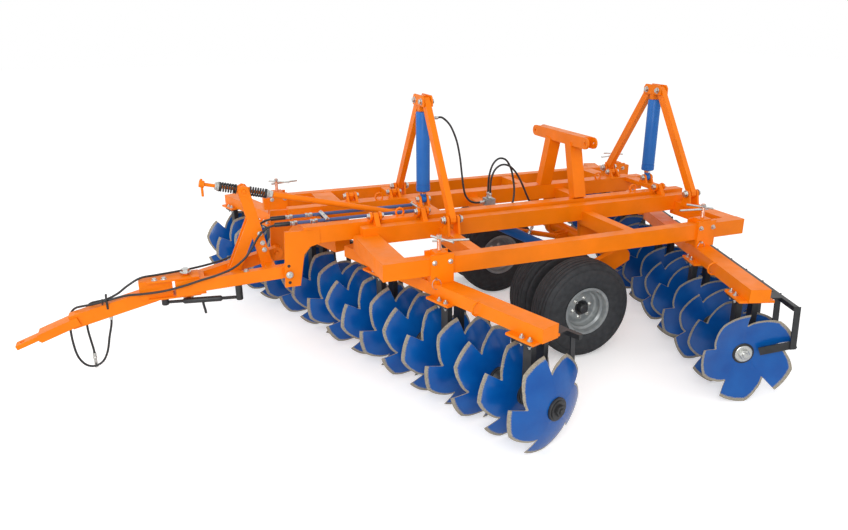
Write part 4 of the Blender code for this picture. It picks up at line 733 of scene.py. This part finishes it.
class PipeOperator(bpy.types.Operator):
    """Make the two steel pipes with their fittings and clamps, and the turnbuckle of the draw tube."""
    bl_idname = "harrow.pipes"
    bl_label = "Pipes"

    def execute(self, context):
        pipes, fittings, guides = [], [], []
        rear = MAST_X["front"] + 0.07
        length = PIPE_FRONT - rear
        bore_end, reach = GUIDE_START - rear, GUIDE_END - rear
        pipe = [(0, 0), (0.013, 0), (PIPE_R, 0.001), (PIPE_R, length - 0.05), (0, length - 0.05)]
        guide = [(0, length), (0.0165, length), (0.0185, length + 0.003), (0.0185, reach - 0.004),
                 (0.0165, reach), (GUIDE_BORE, reach), (GUIDE_BORE, bore_end), (0, bore_end)]
        # from the pipe's front end: start and end of each nut or sleeve, its radius and its sides
        rings = ((0.06, 0.035, 0.021, 6), (0.033, 0.012, 0.017, 20), (0.011, 0.0, 0.020, 6),
                 (0.23, 0.205, 0.021, 6), (0.204, 0.185, 0.017, 20), (0.184, 0.168, 0.021, 6))
        for side in (LEFT, RIGHT):
            matrix = along((rear, side * PIPE_Y, PIPE_Z), (PIPE_FRONT, side * PIPE_Y, PIPE_Z))
            pipes.append(turned(pipe, 24, matrix))
            guides.append(turned(guide, 24, matrix))
            for start, end, r, sides in rings:
                fittings.append(drum(length - start, length - end, r, sides, matrix, (0.002, 0.002)))
        piece("pipes_smooth", pipes, "Pipe enamel", "frame", ("hydraulic_pipes",))
        piece("hose_guides", guides, "Hose cover", "frame")
        half = PIPE_Y + 0.03
        for x in CLAMP_X:
            fittings.append(block((x - 0.018, -half, PIPE_Z + 0.004), (x + 0.018, half, PIPE_Z + 0.018)))
            for y in (-PIPE_Y - 0.022, 0.0, PIPE_Y + 0.022):
                fittings += hex_bolt((x, y, PIPE_Z + 0.018), (0, 0, 1), 0.008)
        x = CLAMP_X[0]
        fittings.append(block((x - 0.02, -half, TIE_TOP + FIT), (x + 0.02, half, TIE_TOP + 0.008), 0.002))
        piece("pipe_fittings", fittings, "Zinc plate", "frame")
        self.turnbuckle()
        return {"FINISHED"}

    def turnbuckle(self):
        start, end = np.array((3.54, 0.03, 0.585)), np.array((2.97, 0.17, 0.60))
        span = float(np.linalg.norm(end - start))
        matrix = along(start, end)
        screw = threaded(0.0125, np.arange(0.03, 0.25 * span, 0.004), 0.0, 0.26 * span)
        other = [(r, span - z) for r, z in screw]
        parts = [turned(screw, 20, matrix), turned(other, 20, matrix),
                 drum(0.24 * span, 0.76 * span, 0.024, 28, matrix, (0.005, 0.02 * span))]
        for place, top in ((start, 0.63 - FIT), (end, 0.704 - FIT)):
            parts.append(drum(place[2] - 0.02, top, 0.028, 28, Matrix.Translation((place[0], place[1], 0))))
        middle = (start + end) / 2
        handle = [middle, middle - (0.002, 0, 0.04), middle - (0.01, 0, 0.09), middle - (0.014, 0, 0.12)]
        parts.append(tube(handle, 0.010, 14))
        piece("turnbuckle_smooth", parts, "Black satin enamel", "drawbar_body", ("turnbuckle",))


def pin_heads(middle, reach, radius=PIN_HEAD_R):
    """The heads on both ends of a pin, at its middle plus and minus reach."""
    middle, reach = np.array(middle, float), np.array(reach, float)
    return [part for way in (-1, 1) for part in hex_bolt(middle + way * reach, way * unit(reach), radius)]


class FastenerOperator(bpy.types.Operator):
    """Make the bolts, nuts, pins and cranks of the frame, wings, masts and drawbar."""
    bl_idname = "harrow.fasteners"
    bl_label = "Fasteners"

    def execute(self, context):
        for side in (LEFT, RIGHT):
            parts = []
            for row, x in MAST_X.items():
                parts += self.foot_bolts(row, side) + self.bracket_bolts(row, side)
                parts += pin_heads((x, side * LEG_FOOT_Y, LEG_FOOT_Z), (LEG_FACE, 0, 0), LEG_PIN_R)
            piece(f"bolts_wing_{SIDE[side]}", parts, "Zinc plate", f"wing_{SIDE[side]}")
        self.mast_bolts()
        self.frame_bolts()
        self.drawbar_bolts()
        return {"FINISHED"}

    def foot_bolts(self, row, side):
        """Four bolts through each foot plate into the hanger below it, with nuts under the hanger's plate."""
        matrix, parts = gang_frame(row), []
        up = matrix.to_3x3() @ Vector((0, 1, 0))
        top, under = GANG_BEAM_LOW + 0.002, GANG_BEAM_LOW - FOOT_T - 0.0125
        places = disc_places(side)
        for gap in HANGER_GAPS[side]:
            leg = places[gap] + DISC_PITCH / 2 + BULGE[row] * 0.035
            for x in (-0.103, 0.103):
                for z in (leg - 0.035, leg + 0.035):
                    parts += hex_bolt(matrix @ Vector((x, top, z)), up, 0.016, shank=0.012)
                    parts += hex_bolt(matrix @ Vector((x, under, z)), -up, 0.015, shank=0.015)
        return parts

    def bracket_bolts(self, row, side):
        """Two bolts through the rail, one sprung pin below it, and the angle screw with its crossing arms."""
        x, y = ROW_X[row] - BULGE[row] * math.tan(GANG_ANGLE) * side * RAIL_Y, side * RAIL_Y
        face, parts = RAIL_W / 2 + PLATE_T, []
        for away in (-1, 1):
            for offset in (-0.062, 0.062):
                place = (x + offset, y + away * face, RAIL_TOP - 0.028)
                parts += hex_bolt(place, (0, away, 0), 0.015, shank=0.01)
        pin, half = Vector((x + 0.055, y, RAIL_TOP - RAIL_W - 0.045)), Vector((0, face + 0.025, 0))
        parts.append(tube([pin - half, pin, pin + half], 0.009, 14))
        end = pin + Vector((0, side * (face + 0.018), -0.04))
        hook = [end + Vector((0.034 * math.sin(a), 0, 0.04 * math.cos(a)))
                for a in np.linspace(0, 2 * math.pi, 20, endpoint=False)]
        parts.append(tube(hook, 0.0025, 8, closed=True))
        top = RAIL_TOP + 0.16
        stand = Matrix.Translation((x, y, 0))
        threads = np.arange(RAIL_TOP + 0.045, top - 0.03, 0.0045)
        parts.append(turned(threaded(0.0145, threads, threads[0], top - 0.03), 20, stand))
        parts.append(drum(top - 0.03, top, 0.021, 6, stand, (0.002, 0.002)))
        hub = np.array((x, y, top - 0.045))
        way = unit((-1.0, side * 0.25, 0.0) if row == "front" else (1.0, -side * 0.15, 0.0))
        across = unit(0.8 * way + (way[1], -way[0], 0.0))
        for arm, back, reach, rise in ((way, 0.05, 0.22, 0.0), (across, 0.08, 0.14, 0.018)):
            middle = hub + (0, 0, rise)
            ends = (-back, 0.0, reach / 2, reach)
            parts.append(tube([middle + arm * end for end in ends], 0.009, 12))
        return parts

    def mast_bolts(self):
        for row, x in MAST_X.items():
            parts = []
            for side in (LEFT, RIGHT):
                parts += pin_heads((x, side * MAST_Y, MAST_Z), (CHEEK_FACE, 0, 0))
            piece(f"bolts_mast_{row}", parts, "Zinc plate", f"mast_head_{row}")

    def frame_bolts(self):
        """Pin heads of the fold hinges, cylinder feet, drawbar hinge and lift pivot; thin black discs on the
        front plate as painted shade for its spare holes.
        """
        parts, hole_shade_discs = [], []
        for side in (LEFT, RIGHT):
            for x in HINGE_X:
                parts += pin_heads((x, side * HINGE_Y, HINGE_Z), (HINGE_LUG_HALF + 0.01 + PLATE_T, 0, 0))
            parts += hex_bolt((DRAW_HINGE[0], side * 0.375, DRAW_HINGE[2]), (0, side, 0), PIN_HEAD_R)
            for rise in (-0.07, 0.07):
                foot = DRAW_HINGE + (0, side * FRONT_PLATE_FACE, rise)
                # each spare hole is a thin black disc on the plate's face: painted shade for the dark inside
                # of a hole, no hole is cut
                hole_shade_discs.append(cap(0.001, 0.0, 0.013, 20, along(foot, foot + (0, side, 0)), (0.001, 0.001)))
        for x in MAST_X.values():
            parts += pin_heads((x, 0, ROD_EYE_Z), (CHEEK_FACE, 0, 0))
        parts += pin_heads(LIFT_PIVOT, (0, CHEEK_FACE, 0))
        piece("bolts_frame", parts, "Zinc plate", "frame")
        # the black discs are painted shade standing in for the spare holes
        piece("front_plate_hole_shade", hole_shade_discs, "Black satin enamel", "frame")

    def drawbar_bolts(self):
        """The joint's king bolt, the bolts through the fork, and the tie and hook that hold the hoses."""
        parts = hex_bolt((3.36, 0, 0.81), (0, 0, 1), 0.034) + hex_bolt((3.36, 0, 0.60), (0, 0, -1), 0.034)
        for x, z in ((2.752, 1.08), (2.735, 1.00), (2.725, 0.94)):
            for away in (-1, 1):
                parts += hex_bolt((x, away * 0.055, z), (0, away, 0), 0.016, shank=0.006)
        for x, z in ((3.60, 0.79), (3.53, 0.79)):
            parts += hex_bolt((x, 0.055, z), (0, 0, 1), 0.018)
        parts += hex_bolt((2.90, 0.181, 0.818), (0, 0, 1), 0.018)
        piece("bolts_drawbar", parts, "Zinc plate", "drawbar_body")
        hook = smooth([(3.965, y, z) for y, z in ((0.049, 0.60), (0.060, 0.64), (0.060, 0.69), (0.040, 0.715),
                                                  (0.015, 0.70))], 0.006)
        tie = [np.array((4.00, 0.017, 0.652)) + (0, 0.042 * math.cos(a), 0.020 * math.sin(a))
               for a in np.linspace(0, 2 * math.pi, 28, endpoint=False)]
        piece("hose_hook", [tube(hook, 0.008, 12), tube(tie, 0.003, 8, closed=True)], "Black satin enamel",
              "drawbar_body")


class GangOperator(bpy.types.Operator):
    """Make the discs, spools and end nuts of all four gangs."""
    bl_idname = "harrow.gangs"
    bl_label = "Gangs"

    def execute(self, context):
        settings = look()
        for row, bulge in BULGE.items():
            matrix = gang_frame(row)
            for side in (LEFT, RIGHT):
                gang = f"{row}_{SIDE[side]}"
                node_name, body = f"gang_{gang}", f"discs_{gang}"
                discs = [disc_part(FIRST_TWIST + k * NOTCH_TWIST, bulge, place, matrix, settings.rim_steps,
                                   settings.rim_band) for k, place in enumerate(disc_places(side))]
                blades, edges = [part for part, _ in discs], np.concatenate([edge for _, edge in discs])
                piece(f"{body}_blades", blades, "Disc enamel", body, (node_name,), 50, edges)
                parts, hubs = shaft_parts(row, side)
                piece(f"{body}_spools", parts, "Black satin enamel", body, (node_name,))
                coat = "Black satin enamel" if row == "front" else "Zinc plate"
                piece(f"{body}_end_nuts", self.end_nuts(matrix, hubs), coat, body)
        return {"FINISHED"}

    def end_nuts(self, matrix, hubs):
        """The washer, the nut and the bolt's end at both ends of a gang."""
        # each from its root to its tip off the flange, with its radius, its sides and its cut edge
        stack = ((-0.002, 0.008, 0.066, 24, (0.004, 0.003)), (0.006, 0.030, 0.040, 6, (0.006, 0.005)),
                 (0.02, 0.040, 0.021, 16, (0.003, 0.004)))
        parts = []
        for hub, away in ((hubs[0], -1), (hubs[-1], 1)):
            face = hub + away * (DISC_T / 2 + FLANGE_T)
            for root, tip, r, sides, cut in stack:
                parts.append(cap(face + away * tip, face + away * root, r, sides, matrix, cut))
        return parts


def wheel_frame(side):
    """Z along the axle to the machine's left, origin between the twin wheels."""
    return Matrix.Translation((AXLE_X, side * TRACK_Y, TYRE_R)) @ Matrix.Rotation(-math.pi / 2, 4, "X")


class WheelOperator(bpy.types.Operator):
    """Make the ribbed tyres, the dished rims and the hubs with their studs."""
    bl_idname = "harrow.wheels"
    bl_label = "Wheels"

    def execute(self, context):
        for side in (LEFT, RIGHT):
            body = f"wheels_{SIDE[side]}"
            matrix = wheel_frame(side)
            for place, word in ((side, "outer"), (-side, "inner")):
                tyre = f"tyre_{SIDE[side]}_{word}"
                stand = matrix @ Matrix.Translation((0, 0, place * TWIN_Y))
                ribbed = turned(self.tyre_profile(), 96, stand)
                piece(f"{tyre}_ribbed", [ribbed], "Tyre rubber", body, (tyre,), 40)
            rims = [turned(self.rim_profile(way), 64, matrix) for way in (1, -1)]
            name = f"wheel_rims_{SIDE[side]}"
            piece(f"{name}_dished", rims, "Wheel enamel", body, (name,))
            self.hub(side, matrix, body)
        return {"FINISHED"}

    def tyre_profile(self):
        """Closed section (r, z) of a ribbed tyre: five ribs with grooves between, and rounded shoulders."""
        half, bead = TYRE_W / 2, 0.104
        wall = [(0.1905, bead), (0.205, bead + 0.007), (0.222, bead + 0.022), (0.24, half - 0.008),
                (0.262, half - 0.002), (0.29, half), (0.32, half - 0.001), (0.345, half - 0.006),
                (0.362, half - 0.012), (0.366, half - 0.018), (0.372, half - 0.018), (0.38, half - 0.018),
                (0.396, half - 0.026), (0.408, half - 0.038)]
        crown = []
        ribs = ((0.088, 0.066), (0.054, 0.028), (0.016, -0.016), (-0.028, -0.054), (-0.066, -0.088))
        for low, high in ribs:
            top = TYRE_R - 0.010 * (abs(low + high) / 2 / 0.1) ** 2
            crown += [(top - 0.013, low + 0.003), (top - 0.0015, low), (top, low - 0.002),
                      (top, high + 0.002), (top - 0.0015, high), (top - 0.013, high - 0.003)]
        profile = wall + [(0.405, half - 0.040)] + crown + [(0.405, -half + 0.040)]
        profile += [(r, -z) for r, z in reversed(wall)]
        return profile + [profile[0]]

    def rim_profile(self, way):
        """Section of one rim of the pair: flange, bead seats, well and the dished face that meets the hub."""
        c = TWIN_Y
        profile = [(0.062, c + 0.028), (0.10, c + 0.028), (0.118, c + 0.020), (0.135, c + 0.014),
                   (0.150, c + 0.020), (0.160, c + 0.040), (0.166, c + 0.060), (0.182, c + 0.080),
                   (0.186, c + 0.104), (0.1885, c + 0.104), (0.190, c + 0.112), (0.206, c + 0.116),
                   (0.2085, c + 0.120), (0.206, c + 0.124), (0.186, c + 0.120), (0.180, c + 0.108),
                   (0.176, c + 0.080), (0.160, c + 0.062), (0.176, c + 0.080), (0.160, c + 0.064),
                   (0.158, c - 0.02), (0.176, c - 0.06), (0.180, c - 0.108), (0.186, c - 0.120),
                   (0.206, c - 0.124), (0.2085, c - 0.120), (0.206, c - 0.116), (0.1885, c - 0.104),
                   (0.1885, c - 0.06), (0.168, c - 0.02), (0.150, c - 0.0), (0.135, c + 0.004),
                   (0.10, c + 0.018), (0.062, c + 0.018)]
        ring = [(r, way * z) for r, z in profile]
        return ring + [ring[0]]

    def hub(self, side, matrix, body):
        """The cast hub between the rims with its cap, and the nuts on their studs outside each rim face."""
        parts, c = [], TWIN_Y
        profile = [(0, c + 0.078), (0.030, c + 0.078), (0.040, c + 0.070), (0.046, c + 0.050),
                   (0.048, c + 0.030), (0.066, c + 0.029), (0.066, c + 0.016), (0.058, c + 0.010),
                   (0.058, 0.045), (0, 0.045)]
        for way in (1, -1):
            parts.append(turned([(r, way * z) for r, z in profile], 32, matrix))
        piece(f"wheel_hub_{SIDE[side]}", parts, "Black satin enamel", body)
        nuts = []
        for way in (1, -1):
            axis = matrix.to_3x3() @ Vector((0, 0, way))
            for k in range(STUDS):
                a = math.radians(360 / STUDS * k + 15)
                foot = Vector((STUD_CIRCLE * math.cos(a), STUD_CIRCLE * math.sin(a), way * (TWIN_Y + 0.0285)))
                nuts += hex_bolt(matrix @ foot, axis, 0.015, shank=0.012)
        piece(f"wheel_nuts_{SIDE[side]}", nuts, "Zinc plate", body)


class PaintOperator(bpy.types.Operator):
    """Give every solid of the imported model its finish."""
    bl_idname = "harrow.paint"
    bl_label = "Paint"

    def execute(self, context):
        coats = {"orange": "Orange enamel", "blue": "Blue enamel", "black": "Black satin enamel",
                 "rubber": "Tyre rubber", "grey": "Wheel enamel", "zinc": "Zinc plate"}
        slots = {entry["node"]: entry["material_slot"] for entry in frame["record"]["subparts"]}
        special = {"fold_rod_front": "Hard chrome", "fold_rod_rear": "Hard chrome", "lift_rod": "Hard chrome",
                   "hydraulic_pipes": "Pipe enamel"}
        for name, item in frame["nodes"].items():
            item.data.materials.clear()
            item.data.materials.append(finish(special.get(name) or coats[slots[name]]))
        return {"FINISHED"}


class StageOperator(bpy.types.Operator):
    """Set the floor, the studio light and the camera of the photograph."""
    bl_idname = "harrow.stage"
    bl_label = "Stage"

    def execute(self, context):
        self.floor()
        self.world(context.scene)
        self.lamps()
        self.camera(context.scene)
        context.scene.view_settings.view_transform = "Standard"
        return {"FINISHED"}

    def floor(self):
        mesh, half = bpy.data.meshes.new("studio_floor"), 40.0
        corners = [(-half, -half, 0), (half, -half, 0), (half, half, 0), (-half, half, 0)]
        mesh.from_pydata(corners, [], [(0, 1, 2, 3)])
        made = bpy.data.objects.new("studio_floor", mesh)
        bpy.context.scene.collection.objects.link(made)
        coat = bpy.data.materials.new("Studio floor")
        coat.use_nodes = True
        tree = coat.node_tree
        shader = tree.nodes["Principled BSDF"]
        shader.inputs["Base Color"].default_value = linear("#f4f4f4")
        shader.inputs["Roughness"].default_value = 1.0
        shader.inputs["Specular IOR Level"].default_value = 0.0
        # only the camera sees this glow, which lifts the lit paper to plain white and leaves its shadows
        seen = node(tree, "ShaderNodeLightPath").outputs["Is Camera Ray"]
        glow = node(tree, "ShaderNodeMath", {0: seen, 1: 0.34}, operation="MULTIPLY").outputs["Value"]
        shader.inputs["Emission Color"].default_value = WHITE
        tree.links.new(glow, shader.inputs["Emission Strength"])
        mesh.materials.append(coat)

    def world(self, scene):
        sky = bpy.data.worlds.new("Studio")
        scene.world = sky
        sky.use_nodes = True
        tree = sky.node_tree
        tree.nodes.clear()
        # the camera, gloss and clear pieces see plain white, and the object is lit by a softer sky
        path = node(tree, "ShaderNodeLightPath").outputs
        seen = path["Is Camera Ray"]
        for ray in ("Is Glossy Ray", "Is Transmission Ray"):
            seen = node(tree, "ShaderNodeMath", {0: seen, 1: path[ray]}, operation="MAXIMUM").outputs["Value"]
        soft = node(tree, "ShaderNodeBackground", {"Color": WHITE, "Strength": 0.80})
        white = node(tree, "ShaderNodeBackground", {"Color": WHITE, "Strength": 1.0})
        mixed = node(tree, "ShaderNodeMixShader", {0: seen, 1: soft.outputs[0], 2: white.outputs[0]})
        out = node(tree, "ShaderNodeOutputWorld")
        tree.links.new(mixed.outputs[0], out.inputs["Surface"])

    def lamps(self):
        lamps = (("key", (5.0, 8.5, 5.5), 5.0, 470), ("fill", (8.0, -1.0, 4.5), 6.0, 120),
                 ("back", (-8.0, 2.0, 7.0), 6.0, 60))
        for name, place, size, watts in lamps:
            lamp = bpy.data.lights.new(name, "AREA")
            lamp.size = size
            lamp.energy = watts
            made = bpy.data.objects.new(name, lamp)
            made.location = place
            made.rotation_euler = (Vector((0, 0, 0.5)) - Vector(place)).to_track_quat("-Z", "Y").to_euler()
            bpy.context.scene.collection.objects.link(made)

    def camera(self, scene):
        """The camera solved from the photograph's vanishing points, at its place beside the hitch."""
        lens = bpy.data.cameras.new("photo")
        lens.lens = 29.82
        lens.sensor_width = 36.0
        lens.clip_end = 200.0
        made = bpy.data.objects.new("photo", lens)
        right = Vector((-0.93352, 0.35852, -0.0034))
        down = Vector((0.12233, 0.30963, -0.9430))
        ahead = Vector((-0.33702, -0.88068, -0.3329))
        turn = Matrix((right, -down, -ahead)).transposed().to_4x4()
        made.matrix_world = Matrix.Translation(Vector((3.466, 5.675, 2.747)) + ORIGIN) @ turn
        scene.collection.objects.link(made)
        scene.camera = made


class HarrowPanel(bpy.types.Panel):
    """Lists the harrow's settings and its steps in the sidebar."""
    bl_idname = "VIEW3D_PT_harrow"
    bl_label = "Disc harrow"
    bl_space_type = "VIEW_3D"
    bl_region_type = "UI"
    bl_category = "Disc harrow"

    def draw(self, context):
        settings = context.scene.harrow_look
        for name in HarrowLook.__annotations__:
            self.layout.prop(settings, name)
        for operator in OPERATORS:
            self.layout.operator(operator.bl_idname)


OPERATORS = (StageOperator, HoseOperator, PaintOperator, GangOperator, WheelOperator, CylinderOperator,
             LevellingOperator, PipeOperator, FastenerOperator)
CLASSES = (HarrowLook, *OPERATORS, HarrowPanel)


def register():
    for item in CLASSES:
        bpy.utils.register_class(item)
    bpy.types.Scene.harrow_look = PointerProperty(type=HarrowLook)


def unregister():
    del bpy.types.Scene.harrow_look
    for item in reversed(CLASSES):
        bpy.utils.unregister_class(item)


def main():
    register()
    bpy.ops.harrow.stage()
    bpy.ops.harrow.hoses()
    bpy.ops.harrow.paint()
    bpy.ops.harrow.gangs()
    bpy.ops.harrow.wheels()
    bpy.ops.harrow.cylinders()
    bpy.ops.harrow.levelling()
    bpy.ops.harrow.pipes()
    bpy.ops.harrow.fasteners()


if __name__ == "__main__":
    main()
